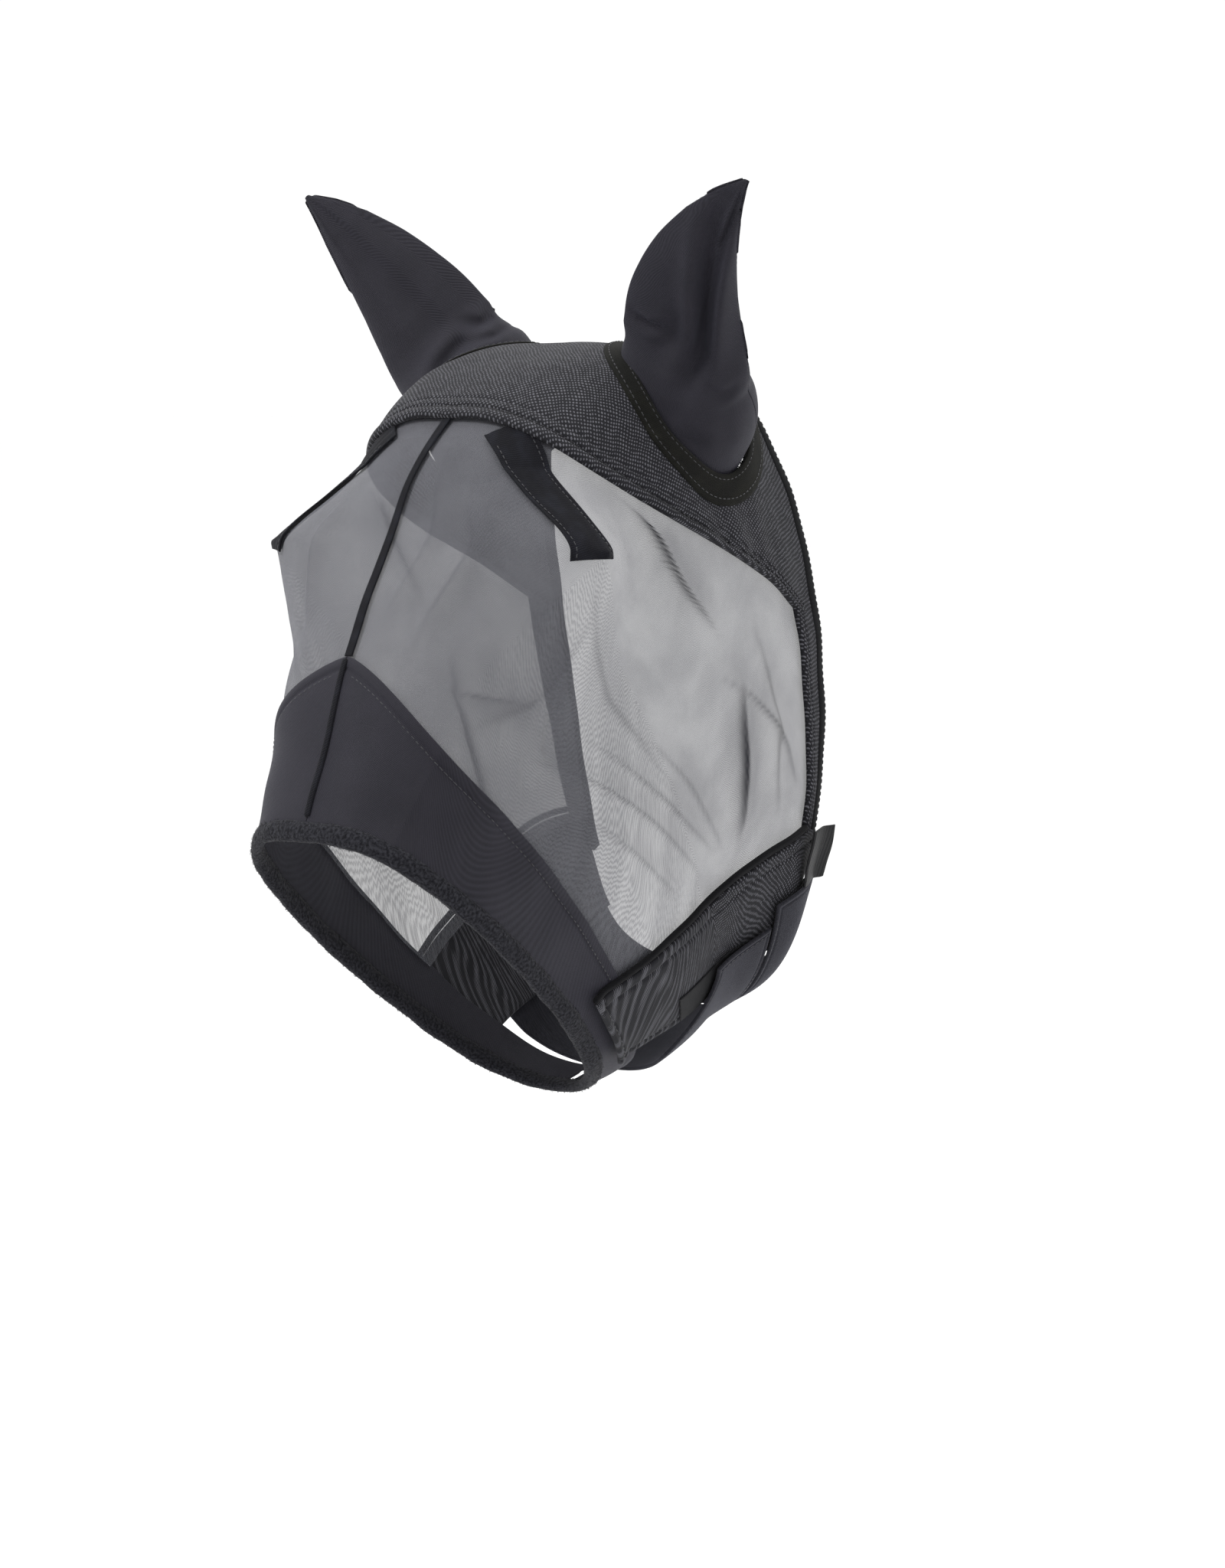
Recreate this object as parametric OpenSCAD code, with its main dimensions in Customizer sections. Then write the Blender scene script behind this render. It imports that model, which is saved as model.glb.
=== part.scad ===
// Horse fly mask: mesh face cover, padded crown with two ear covers, nose panel and jaw closures.
// Millimetres. +X is the way the horse faces, +Y its left (near) side, +Z up.
// The origin is the middle of the crown, where the mask sits on the poll between the ears.

/* [Hood] */
// Half width over the cheeks
cheek_w = 106; // [98:1:114]
// Drop from the poll to the chin
chin_drop = 426; // [400:1:450]
// Reach from the poll to the nose edge
nose_reach = 225; // [212:1:238]
// How far each eye dart stands out from the cheek
dart_out = 48; // [30:1:52]

/* [Fabrics] */
// Thickness of the face mesh
mesh_t = 1.2; // [0.8:0.1:1.6]
// Thickness of the padded spacer fabric
spacer_t = 4; // [3:0.1:4.5]
// Thickness of the stretch fabric of the nose and ears
stretch_t = 1.5; // [1:0.1:2]
// Thickness of the sewn tapes
tape_t = 1.2; // [0.8:0.1:1.6]
// Thickness of the fleece round the muzzle
fleece_t = 7; // [5:0.5:9]
// Thickness of the closure straps
strap_t = 2.2; // [1.6:0.1:3]

/* [Ears] */
// Radius of the round base that each ear cover turns on
ear_r = 42; // [38:1:42]
// Length of an ear cover from its base centre to its tip
ear_len = 165; // [150:1:175]
// Outward lean of both ear covers
ear_lean = 36; // [32:1:40]
// Forward pitch of both ear covers
ear_pitch = 21; // [15:1:24]
// Outward turn of the near ear cover's open side
near_turn = 35; // [15:1:40]
// Outward turn of the far ear cover's open side
far_turn = -30; // [-35:1:20]

/* [Hidden] */

kx = nose_reach / 225;
ky = cheek_w / 106;
kz = chin_drop / 426;

// Cross ribs of the hood, from the poll (first) to the muzzle (last):
// dorsal x and z, throat x and z, half width, squareness of the curve, rearward bow
RIBS = [
    [-62, -16, -114, -360, 96, 0.55, -20],
    [0, 0, -108, -372, 105, 0.55, -12],
    [70, -16, -96, -382, 108, 0.75, -6],
    [122, -58, -80, -392, 104, 0.90, 0],
    [154, -110, -60, -402, 98, 0.85, 0],
    [184, -168, -36, -411, 90, 0.80, 0],
    [205, -225, -10, -420, 78, 0.80, 0],
    [225, -276, 18, -426, 70, 0.80, 0]];
RIB_LAST = len(RIBS) - 1;
RIB_CROWDING = 1.25;  // over 1 puts more of each rib near the top
RIB_SWEEP = 0.09;     // how far the muzzle ribs sweep forward at the cheek
DART_AT = [114, -110];            // x and z of the eye darts' peaks
DART_SIZE = [62, 45, 100];        // reach of a dart fore and aft, upward and downward
DART_FADE = 45;                   // distance off the midline where a dart has its full height

// Lines across the hood, as rib positions (s), and along it, as fractions of a rib (t)
BAND_END_T = 0.487;   // where the crown band runs out on the rear edge
JAW_T = 0.70;         // inner edge of the jaw bands
JAW_LOW_T = 0.84;     // lower edge of the jaw bands
JAW_FRONT_S = 6.25;   // front end of the jaw bands
REAR_END_T = 0.76;    // lower ends of the bound rear edge
CHIN_T = 0.997;       // where the two nose panels meet under the chin
MUZZLE_S = 6.85;      // front edge of the mask
MUZZLE_BAND_S = 0.28; // width of the muzzle fleece, in ribs
LAP_S = 0.12;         // overlap of one fabric under another, in ribs
LAYER_GAP = 0.1;      // between layers sewn together
MESH_SINK = 0.6;      // depth of the face mesh under the skin, clear of the layers over its curves
TAPE_GAP = 0.5;       // between a closure and the hook tape sewn under it
LINING_GAP = 0.5;     // between the brow lining and the mesh over it
TURN_GAP = 0.5;       // between layers that come apart

// Where the layers stack on the jaw: band, loop tape, hook tape, strap
jaw_top = LAYER_GAP + spacer_t;
loop_top = jaw_top + LAYER_GAP + tape_t;
hook_base = loop_top + TURN_GAP;
hook_top = hook_base + tape_t;
strap_base = hook_top + TAPE_GAP;
strap_top = strap_base + strap_t;

// Ear places: centre of the round base, and the lean of the ring sewn round it
EAR_AT = [-15 * kx, 74 * ky, -34 * kz];
RING_LEAN = 34;
EAR_LOW = -20;        // base rim below the centre
EAR_NECK = 27;        // where the round base ends
NECK_SHARE = 0.2;     // share of an ear cover's mesh rows in its round base
RING_LOW = -14;       // the ring's lower and upper rims, from the centre of the base
RING_HIGH = 3;
RING_T = 3;           // thickness of the ring
RING_GAP = 1;         // between the round base and the ring
// Width of an ear cover inward, outward, and half its depth, at heights as fractions of ear_len
EAR_SECTIONS = [
    [EAR_NECK / ear_len, 1, 1, 1],
    [0.22, 1.08, 1.00, 0.82],
    [0.29, 1.32, 0.92, 0.66],
    [0.40, 1.38, 0.74, 0.58],
    [0.53, 1.30, 0.53, 0.47],
    [0.68, 1.10, 0.34, 0.35],
    [0.82, 0.78, 0.19, 0.23],
    [0.92, 0.43, 0.09, 0.13],
    [1, 0.05, 0.05, 0.05]];

// Smooth curve through the rows of a table, at a fractional row number
function blend_rows(rows, s) = let(
    i = max(0, min(len(rows) - 2, floor(s))), f = s - i,
    b = rows[i], c = rows[i + 1],
    a = i > 0 ? rows[i - 1] : 2 * b - c,
    d = i < len(rows) - 2 ? rows[i + 2] : 2 * c - b)
    b + f / 2 * ((c - a) + f * (2 * a - 5 * b + 4 * c - d + f * (3 * (b - c) + d - a)));

function smooth(f) = let(g = max(0, min(1, f))) g * g * (3 - 2 * g);

// Height of the eye dart over the cheek at x, z
function dart(x, z, y) = let(
    rx = (x - DART_AT[0]) / DART_SIZE[0],
    dz = z - DART_AT[1],
    rz = dz / (dz > 0 ? DART_SIZE[1] : DART_SIZE[2]))
    dart_out * smooth(y / DART_FADE) * pow(max(0, 1 - norm([rx, rz])), 1.3);

// Point of the hood's skin: s runs from the poll rib to the muzzle rib, t from the midline of the
// crown round the near side (0 to 1) or the far side (0 to -1); past either end it carries on
function skin(s, t) = let(
    turn = t > 1 ? t - 2 : t < -1 ? t + 2 : t,
    way = abs(turn),
    row = blend_rows(RIBS, s),
    w = way - RIB_SWEEP * pow(max(0, s) / RIB_LAST, 3) * sin(180 * way),
    q = pow((1 - cos(180 * w)) / 2, RIB_CROWDING),
    x = row[0] + (row[2] - row[0]) * q + row[6] * sin(180 * q),
    z = row[1] + (row[3] - row[1]) * q,
    y = row[4] * pow(max(0, sin(180 * w)), row[5]))
    [kx * x, ky * sign(turn) * (y + dart(x, z, y)), kz * z];

// Point at a height off the skin
function shell(s, t, off) = let(
    e = 0.004,
    n = cross(skin(s + e, t) - skin(s - e, t), skin(s, t + e) - skin(s, t - e)))
    skin(s, t) + off * n / norm(n);

function mix(a, b, f) = a + (b - a) * f;

// Lower edge of the crown band and upper edge of the nose panel, as rib positions
function brow_edge(t) = 2.6 * pow(max(0, 1 - pow(abs(t) / (BAND_END_T + 0.008), 4.2)), 0.8);
function nose_edge(t) = 5 + 0.58 * sin(90 * min(1, abs(t) / 0.4));

// A closed sheet of nu by nv cells. at(u, v, off) is its point at u, v from 0 to 1 and height off,
// where u, v and the outward direction are right handed. A ring joins v = 1 to v = 0.
module sheet(at, nu, nv, low, high, ring = false) {
    cols = ring ? nv : nv + 1;
    layer = (nu + 1) * cols;
    function p(i, j, k) = k * layer + i * cols + j % cols;
    function two(a, b, c, d) = [[a, b, c], [a, c, d]];
    points = [for (off = [low, high]) for (i = [0:nu]) for (j = [0:cols - 1]) at(i / nu, j / nv, off)];
    tops = [for (i = [0:nu - 1]) for (j = [0:nv - 1])
        each two(p(i, j, 1), p(i, j + 1, 1), p(i + 1, j + 1, 1), p(i + 1, j, 1))];
    bottoms = [for (i = [0:nu - 1]) for (j = [0:nv - 1])
        each two(p(i + 1, j, 0), p(i + 1, j + 1, 0), p(i, j + 1, 0), p(i, j, 0))];
    ends = [for (j = [0:nv - 1]) each concat(
        two(p(0, j + 1, 1), p(0, j, 1), p(0, j, 0), p(0, j + 1, 0)),
        two(p(nu, j, 1), p(nu, j + 1, 1), p(nu, j + 1, 0), p(nu, j, 0)))];
    sides = ring ? [] : [for (i = [0:nu - 1]) each concat(
        two(p(i, 0, 1), p(i + 1, 0, 1), p(i + 1, 0, 0), p(i, 0, 0)),
        two(p(i + 1, nv, 1), p(i, nv, 1), p(i, nv, 0), p(i + 1, nv, 0)))];
    polyhedron(points, concat(tops, bottoms, ends, sides));
}

// A sheet between two rib positions and two fractions
module patch(s0, s1, t0, t1, nu, nv, low, high) {
    sheet(function(u, v, off) shell(mix(s0, s1, u), mix(t0, t1, v), off), nu, nv, low, high);
}

module far_side() {
    mirror([0, 1, 0]) children();
}

module face_mesh() {
    color("gray") sheet(function(u, v, off) let(
        t = JAW_T * pow(v, 1.3),
        from = max(0.02, brow_edge(t) - LAP_S))
        shell(mix(from, nose_edge(t) + LAP_S, u), t, off), 20, 20, -MESH_SINK - mesh_t, -MESH_SINK);
}

module near_face_mesh() {
    face_mesh();
}

module far_face_mesh() {
    far_side() face_mesh();
}

// Tape over the seam down the middle of the forehead
module centre_seam_tape() {
    color("dimgray") patch(2.64, 4.96, -0.005, 0.005, 14, 2, LAYER_GAP, LAYER_GAP + tape_t);
}

// Tape over an eye dart, from the brow out to the dart's peak
module dart_tape() {
    path = [[2.76, 0.115], [2.86, 0.185], [3.12, 0.235], [3.47, 0.272]];
    width = [0.20, 0.32, 0.36, 0.30];
    color("dimgray") sheet(function(u, v, off) let(
        f = 3 * u,
        at = blend_rows(path, f),
        slant = 0.045 * (v - 0.5))
        shell(at[0] + (v - 0.5) * -blend_rows(width, f), at[1] + slant, off),
        12, 4, LAYER_GAP, LAYER_GAP + tape_t);
}

module near_dart_tape() {
    dart_tape();
}

module far_dart_tape() {
    far_side() dart_tape();
}

module nose_panel() {
    color("darkslategray") sheet(function(u, v, off) let(t = CHIN_T * pow(v, 1.2))
        shell(mix(nose_edge(t), MUZZLE_S - MUZZLE_BAND_S, u), t, off),
        8, 22, LAYER_GAP, LAYER_GAP + stretch_t);
}

module near_nose_panel() {
    nose_panel();
}

module far_nose_panel() {
    far_side() nose_panel();
}

// Bound seam down the middle of the nose
module nose_seam_tape() {
    low = 2 * LAYER_GAP + stretch_t;
    color("dimgray") patch(5.02, MUZZLE_S - MUZZLE_BAND_S, -0.008, 0.008, 6, 2, low, low + tape_t);
}

// Brushed fleece round the whole muzzle
module muzzle_binding() {
    color("dimgray") sheet(function(u, v, off)
        shell(mix(MUZZLE_S - MUZZLE_BAND_S + 0.01, MUZZLE_S, u), mix(-1, 1, v), off),
        2, 44, -fleece_t / 2, fleece_t / 2, ring = true);
}

// Padded band over the crown and brow, open where the ear covers stand
module crown_band() {
    color("slategray") difference() {
        sheet(function(u, v, off) let(t = BAND_END_T * sign(v - 0.5) * pow(abs(2 * v - 1), 1.4))
            shell(mix(0, max(0.12, brow_edge(t)), u), t, off), 10, 36, LAYER_GAP, jaw_top);
        ear_hole();
        far_side() ear_hole();
    }
}

module ear_hole() {
    translate(EAR_AT) sphere(ear_r + RING_GAP + RING_T + TURN_GAP, $fn = 40);
}

// Soft lining under the brow
module brow_lining() {
    under = MESH_SINK + mesh_t + LINING_GAP;
    color("darkslategray") patch(2.15, 2.75, -0.10, 0.10, 6, 12, -under - 2, -under);
}

// Padded edge from the crown band's end down to the jaw band
module cheek_band() {
    color("slategray") patch(0, 0.42, BAND_END_T + 0.002, JAW_T, 3, 10, LAYER_GAP, jaw_top);
}

module near_cheek_band() {
    cheek_band();
}

module far_cheek_band() {
    far_side() cheek_band();
}

module jaw_band() {
    color("slategray") patch(0, JAW_FRONT_S, JAW_T + 0.008, JAW_LOW_T, 20, 5, LAYER_GAP + stretch_t,
        jaw_top + stretch_t);
}

module near_jaw_band() {
    jaw_band();
}

module far_jaw_band() {
    far_side() jaw_band();
}

// Rolled piping on the inner edge of a jaw band
module jaw_piping() {
    color("black") patch(0.45, JAW_FRONT_S, JAW_T + 0.001, JAW_T + 0.007, 20, 1, LAYER_GAP + stretch_t,
        LAYER_GAP + stretch_t + 3);
}

module near_jaw_piping() {
    jaw_piping();
}

module far_jaw_piping() {
    far_side() jaw_piping();
}

// Bound rear edge over the poll, from jaw band to jaw band
module poll_binding() {
    color("black") patch(-0.10, -0.01, -REAR_END_T, REAR_END_T, 1, 52, -1, jaw_top + 1);
}

// Bound ring sewn round an ear opening
module ear_ring() {
    inner = ear_r + RING_GAP;
    outer = inner + RING_T;
    low = asin(RING_LOW / inner);
    high = asin(RING_HIGH / inner);
    steps = 6;
    arc = function(r, a0, a1) [for (i = [0:steps]) let(a = mix(a0, a1, i / steps)) r * [cos(a), sin(a)]];
    color("darkolivegreen") translate(EAR_AT) rotate([-RING_LEAN, 0, 0])
        rotate_extrude($fn = 64) polygon(concat(arc(inner, low, high), arc(outer, high, low)));
}

module near_ear_ring() {
    ear_ring();
}

module far_ear_ring() {
    far_side() ear_ring();
}

// Point of an ear cover: h from base rim to tip, angle a from the outer edge (0) to the inner edge
// (180), over the front where it is positive and over the back where it is negative
function ear_point(h, a, off) = let(
    z = h < NECK_SHARE ? mix(EAR_LOW, EAR_NECK, h / NECK_SHARE)
        : mix(EAR_NECK, ear_len, (h - NECK_SHARE) / (1 - NECK_SHARE)),
    base = sqrt(ear_r * ear_r - min(z, EAR_NECK) * min(z, EAR_NECK)),
    f = [for (i = [1:len(EAR_SECTIONS) - 1]) if (z / ear_len >= EAR_SECTIONS[i][0]) 1],
    i = min(len(f), len(EAR_SECTIONS) - 2),
    lo = EAR_SECTIONS[i], hi = EAR_SECTIONS[i + 1],
    part = max(0, min(1, (z / ear_len - lo[0]) / (hi[0] - lo[0]))),
    k = h < NECK_SHARE ? [0, 1, 1, 1] : blend_rows(EAR_SECTIONS, i + part),
    side = cos(a) > 0 ? k[2] : k[1],
    y = (base * side - off) * cos(a),
    x = (base * k[3] - off) * sin(a))
    [x, y, z];

// Half of an ear cover: front is 1 for the open side of the ear, -1 for its back
module ear_half(turn, front) {
    color("darkslategray") translate(EAR_AT) rotate([-ear_lean, 0, 0]) rotate([0, ear_pitch, 0])
        rotate([0, 0, turn])
        sheet(function(u, v, off) ear_point(u, 180 * (front > 0 ? v : v - 1), -off),
            18, 12, -stretch_t, 0);
}

module near_ear_front() {
    ear_half(near_turn, 1);
}

module near_ear_back() {
    ear_half(near_turn, -1);
}

module far_ear_front() {
    far_side() ear_half(far_turn, 1);
}

module far_ear_back() {
    far_side() ear_half(far_turn, -1);
}

// Loop tapes sewn on the near jaw band, under the ends of the closures
module front_loop_tape() {
    color("black") patch(2.3, 4.6, 0.79, 0.832, 8, 2, jaw_top + stretch_t + LAYER_GAP,
        loop_top + stretch_t);
}

module rear_loop_tape() {
    color("black") patch(0.2, 1.6, 0.765, 0.832, 6, 3, jaw_top + stretch_t + LAYER_GAP,
        loop_top + stretch_t);
}

// Flap sewn to the far jaw, passing under the chin to the near side
module chin_flap() {
    color("dimgray") patch(2.0, 5.0, -1.215, -0.862, 10, 16, strap_base + stretch_t,
        strap_top + stretch_t);
}

module chin_flap_hook_tape() {
    color("black") patch(2.3, 4.6, -1.208, -1.17, 8, 2, hook_base + stretch_t, hook_top + stretch_t);
}

module throat_strap() {
    color("dimgray") patch(0.1, 1.7, -1.24, -0.862, 5, 16, strap_base + stretch_t,
        strap_top + stretch_t);
}

module throat_strap_hook_tape() {
    color("black") patch(0.2, 1.6, -1.232, -1.17, 6, 3, hook_base + stretch_t, hook_top + stretch_t);
}

// Stiff pull tab on the strap's end
module throat_strap_tab() {
    color("black") patch(-0.25, 0.9, -1.30, -1.243, 3, 3, strap_base + stretch_t, strap_top + stretch_t);
}

near_face_mesh();
far_face_mesh();
centre_seam_tape();
near_dart_tape();
far_dart_tape();
near_nose_panel();
far_nose_panel();
nose_seam_tape();
muzzle_binding();
crown_band();
brow_lining();
near_cheek_band();
far_cheek_band();
near_jaw_band();
far_jaw_band();
near_jaw_piping();
far_jaw_piping();
poll_binding();
near_ear_ring();
far_ear_ring();
front_loop_tape();
rear_loop_tape();
near_ear_front();
near_ear_back();
far_ear_front();
far_ear_back();
chin_flap();
chin_flap_hook_tape();
throat_strap();
throat_strap_hook_tape();
throat_strap_tab();
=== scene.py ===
import math

import bmesh
import bpy
import numpy as np
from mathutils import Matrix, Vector


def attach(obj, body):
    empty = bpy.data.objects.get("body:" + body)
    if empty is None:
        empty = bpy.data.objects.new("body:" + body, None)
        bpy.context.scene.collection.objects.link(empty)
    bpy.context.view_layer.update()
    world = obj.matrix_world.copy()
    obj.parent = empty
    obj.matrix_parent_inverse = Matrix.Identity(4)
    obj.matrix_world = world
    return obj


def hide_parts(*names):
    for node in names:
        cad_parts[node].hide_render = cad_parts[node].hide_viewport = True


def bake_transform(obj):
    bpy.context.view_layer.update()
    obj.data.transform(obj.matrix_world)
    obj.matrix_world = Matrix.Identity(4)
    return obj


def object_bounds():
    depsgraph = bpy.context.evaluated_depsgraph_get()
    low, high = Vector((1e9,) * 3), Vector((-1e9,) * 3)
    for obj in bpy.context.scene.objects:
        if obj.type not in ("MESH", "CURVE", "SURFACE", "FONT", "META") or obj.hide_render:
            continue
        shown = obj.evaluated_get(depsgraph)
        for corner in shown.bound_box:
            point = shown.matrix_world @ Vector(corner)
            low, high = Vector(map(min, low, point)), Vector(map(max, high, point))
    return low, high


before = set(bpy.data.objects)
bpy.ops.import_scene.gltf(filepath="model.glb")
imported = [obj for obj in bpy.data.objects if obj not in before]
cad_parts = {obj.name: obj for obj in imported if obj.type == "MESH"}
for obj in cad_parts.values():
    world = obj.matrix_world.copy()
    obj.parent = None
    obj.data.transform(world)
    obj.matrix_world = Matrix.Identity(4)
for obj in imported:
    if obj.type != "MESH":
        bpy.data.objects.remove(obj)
cad_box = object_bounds()

MM = 0.001
random = np.random.default_rng(11)


# ---------------------------------------------------------------- camera

CAMERA_AIM = Vector((0.0187, 0.0490, -0.2460))
CAMERA_AZIMUTH = 130
CAMERA_ELEVATION = 5
CAMERA_DISTANCE = 2.6
CAMERA_LENS = 105


def make_camera():
    data = bpy.data.cameras.new("camera")
    data.lens = CAMERA_LENS
    camera = bpy.data.objects.new("camera", data)
    bpy.context.scene.collection.objects.link(camera)
    around = math.radians(CAMERA_AZIMUTH)
    above = math.radians(CAMERA_ELEVATION)
    back = Vector((math.sin(around) * math.cos(above), -math.cos(around) * math.cos(above), math.sin(above)))
    camera.location = CAMERA_AIM + back * CAMERA_DISTANCE
    camera.rotation_mode = "QUATERNION"
    camera.rotation_quaternion = (-back).to_track_quat("-Z", "Y")
    bpy.context.scene.camera = camera


make_camera()


# ---------------------------------------------------------------- the hood's surface, in millimetres

# Cross ribs of the hood, from the poll to the muzzle, as in the frame:
# dorsal x and z, throat x and z, half width, squareness of the curve, rearward bow
RIBS = np.array([
    (-62, -16, -114, -360, 96, 0.55, -20),
    (0, 0, -108, -372, 105, 0.55, -12),
    (70, -16, -96, -382, 108, 0.75, -6),
    (122, -58, -80, -392, 104, 0.90, 0),
    (154, -110, -60, -402, 98, 0.85, 0),
    (184, -168, -36, -411, 90, 0.80, 0),
    (205, -225, -10, -420, 78, 0.80, 0),
    (225, -276, 18, -426, 70, 0.80, 0)], float)
RIB_CROWDING = 1.25
RIB_SWEEP = 0.09
DART_AT = (114, -110)
DART_SIZE = (62, 45, 100)
DART_FADE = 45
DART_OUT = 48
BAND_END_T = 0.487
JAW_T = 0.70
JAW_LOW_T = 0.84
JAW_FRONT_S = 6.25
MUZZLE_S = 6.85
MUZZLE_BAND_S = 0.28
LAP_S = 0.12

# Heights of the layers over the skin
MESH_OFF = -1.2
TAPE_T = 1.2
STRETCH_T = 1.5
BAND_TOP = 4.1
JAW_TOP = 5.6
LOOP_TOP = 6.9
STRAP_LOW = 9.1
STRAP_TOP = 11.3

EPS = 0.004           # step of the finite differences over the skin


def smooth(x):
    x = np.clip(x, 0, 1)
    return x * x * (3 - 2 * x)


def mix(a, b, f):
    return a + (b - a) * f


def unit(v):
    return v / np.maximum(np.linalg.norm(v, axis=-1, keepdims=True), 1e-12)


def bell(x, width):
    return np.exp(-(x / width) ** 2)


def spline(rows, f):
    """Smooth curve through the rows of a table, at fractional row numbers."""
    rows = np.asarray(rows, float)
    f = np.asarray(f, float)
    last = len(rows) - 2
    i = np.clip(np.floor(f).astype(int), 0, last)
    g = (f - i)[..., None]
    b, c = rows[i], rows[i + 1]
    a = np.where((i > 0)[..., None], rows[np.maximum(i - 1, 0)], 2 * b - c)
    d = np.where((i < last)[..., None], rows[np.minimum(i + 2, last + 1)], 2 * c - b)
    return b + g / 2 * ((c - a) + g * (2 * a - 5 * b + 4 * c - d + g * (3 * (b - c) + d - a)))


def skin(s, t):
    """Point of the hood: s runs from poll to muzzle, t from the midline round the near (+) or
    far (-) side."""
    s, t = np.broadcast_arrays(np.asarray(s, float), np.asarray(t, float))
    turn = np.where(t > 1, t - 2, np.where(t < -1, t + 2, t))
    way = np.abs(turn)
    row = spline(RIBS, s)
    w = way - RIB_SWEEP * (np.maximum(s, 0) / (len(RIBS) - 1)) ** 3 * np.sin(np.pi * way)
    q = ((1 - np.cos(np.pi * w)) / 2) ** RIB_CROWDING
    x = row[..., 0] + (row[..., 2] - row[..., 0]) * q + row[..., 6] * np.sin(np.pi * q)
    z = row[..., 1] + (row[..., 3] - row[..., 1]) * q
    y = row[..., 4] * np.maximum(np.sin(np.pi * w), 1e-9) ** row[..., 5]
    fore = (x - DART_AT[0]) / DART_SIZE[0]
    drop = z - DART_AT[1]
    up = drop / np.where(drop > 0, DART_SIZE[1], DART_SIZE[2])
    y = y + DART_OUT * smooth(y / DART_FADE) * np.maximum(0, 1 - np.hypot(fore, up)) ** 1.3
    return np.stack([x, np.sign(turn) * y, z], -1)


def brow_edge(t):
    return 2.6 * np.maximum(0, 1 - (np.abs(t) / (BAND_END_T + 0.008)) ** 4.2) ** 0.8


def nose_edge(t):
    return 5 + 0.58 * np.sin(np.pi / 2 * np.minimum(1, np.abs(t) / 0.4))


# A fine table of the skin, from which folds and lengths are looked up
STEP_S = 0.02
STEP_T = 0.003
GRID_S = np.arange(-0.4, 7.21, STEP_S)
GRID_T = np.arange(-1.36, 1.02, STEP_T)
GRID = skin(GRID_S[:, None], GRID_T[None, :])


def run(points, axis):
    """Length along an axis of a grid of points."""
    step = np.linalg.norm(np.diff(points, axis=axis), axis=-1)
    return np.concatenate([np.zeros_like(np.take(step, [0], axis)), np.cumsum(step, axis)], axis)


def lookup(table, s, t):
    """Value of a table over GRID_S and GRID_T at s and t."""
    i = np.clip((s - GRID_S[0]) / STEP_S, 0, len(GRID_S) - 1.001)
    j = np.clip((t - GRID_T[0]) / STEP_T, 0, len(GRID_T) - 1.001)
    a, b = i.astype(int), j.astype(int)
    f, g = i - a, j - b
    if table.ndim == 3:
        f, g = f[..., None], g[..., None]
    return (table[a, b] * (1 - f) * (1 - g) + table[a + 1, b] * f * (1 - g)
            + table[a, b + 1] * (1 - f) * g + table[a + 1, b + 1] * f * g)


MIDLINE = int(round(-GRID_T[0] / STEP_T))
CHART_U = run(GRID, 0)
CHART_V = run(GRID, 1) - run(GRID, 1)[:, MIDLINE:MIDLINE + 1]

# Folds in the cloth of the face: the way of each over the hood as (s, t), its height, its lean
# over the steep side, and the widths of its gentle and steep sides
FOLDS = [
    ([(2.45, 0.275), (2.24, 0.345), (2.18, 0.42), (1.95, 0.485)], 9, 6, 10, 3),
    ([(2.50, 0.215), (2.30, 0.285), (1.90, 0.345)], 6, 3, 8, 3),
    ([(2.10, 0.520), (1.60, 0.555), (1.10, 0.600), (0.7, 0.66)], 4.5, 3, 8, 3),
    ([(1.75, 0.53), (2.02, 0.60), (2.35, 0.69)], 8, 4, 12, 4),
    ([(4.95, 0.41), (4.10, 0.55), (3.20, 0.69)], 3.5, 2, 7, 2.5),
    ([(4.30, 0.45), (3.60, 0.57), (2.85, 0.67)], 3.5, 2, 7, 2.5),
    ([(4.90, 0.50), (4.35, 0.60), (3.90, 0.69)], 2.5, 1, 6, 2.5),
    ([(3.55, 0.50), (3.05, 0.58), (2.60, 0.69)], 3, 2, 8, 3),
    ([(3.60, 0.30), (3.75, 0.40), (3.60, 0.50), (3.2, 0.60)], 2.5, 1, 9, 4),
    ([(3.40, 0.10), (4.10, 0.13), (4.90, 0.14)], 2.5, 1, 9, 4),
    ([(3.00, 0.05), (3.80, 0.06), (4.60, 0.05)], 2, 1, 8, 4),
    ([(5.20, 0.30), (4.50, 0.36), (3.75, 0.33)], 2.5, 1, 8, 4),
    ([(1.30, 0.49), (1.15, 0.58), (1.35, 0.69)], 3, 5, 10, 4),
    ([(2.45, -0.275), (2.25, -0.36), (2.05, -0.47)], 8, 5, 9, 3),
    ([(1.90, -0.52), (2.10, -0.61), (2.40, -0.69)], 6, 3, 10, 4),
    ([(2.30, -0.545), (1.50, -0.58), (0.60, -0.60)], 5, 3, 8, 3),
    ([(4.80, -0.42), (4.00, -0.56), (3.10, -0.68)], 3, 2, 7, 3),
    ([(3.40, -0.10), (4.00, -0.14), (4.80, -0.15)], 2.5, 1, 9, 4),
    ([(4.10, -0.46), (3.40, -0.57), (2.75, -0.67)], 3, 1, 8, 3),
]
FOLD_STEPS = 16
RIPPLES = [((31, 17, 23), 0.30), ((-19, 37, 11), 0.25), ((13, -9, 41), 0.30), ((55, 23, -31), 0.12)]


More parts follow.
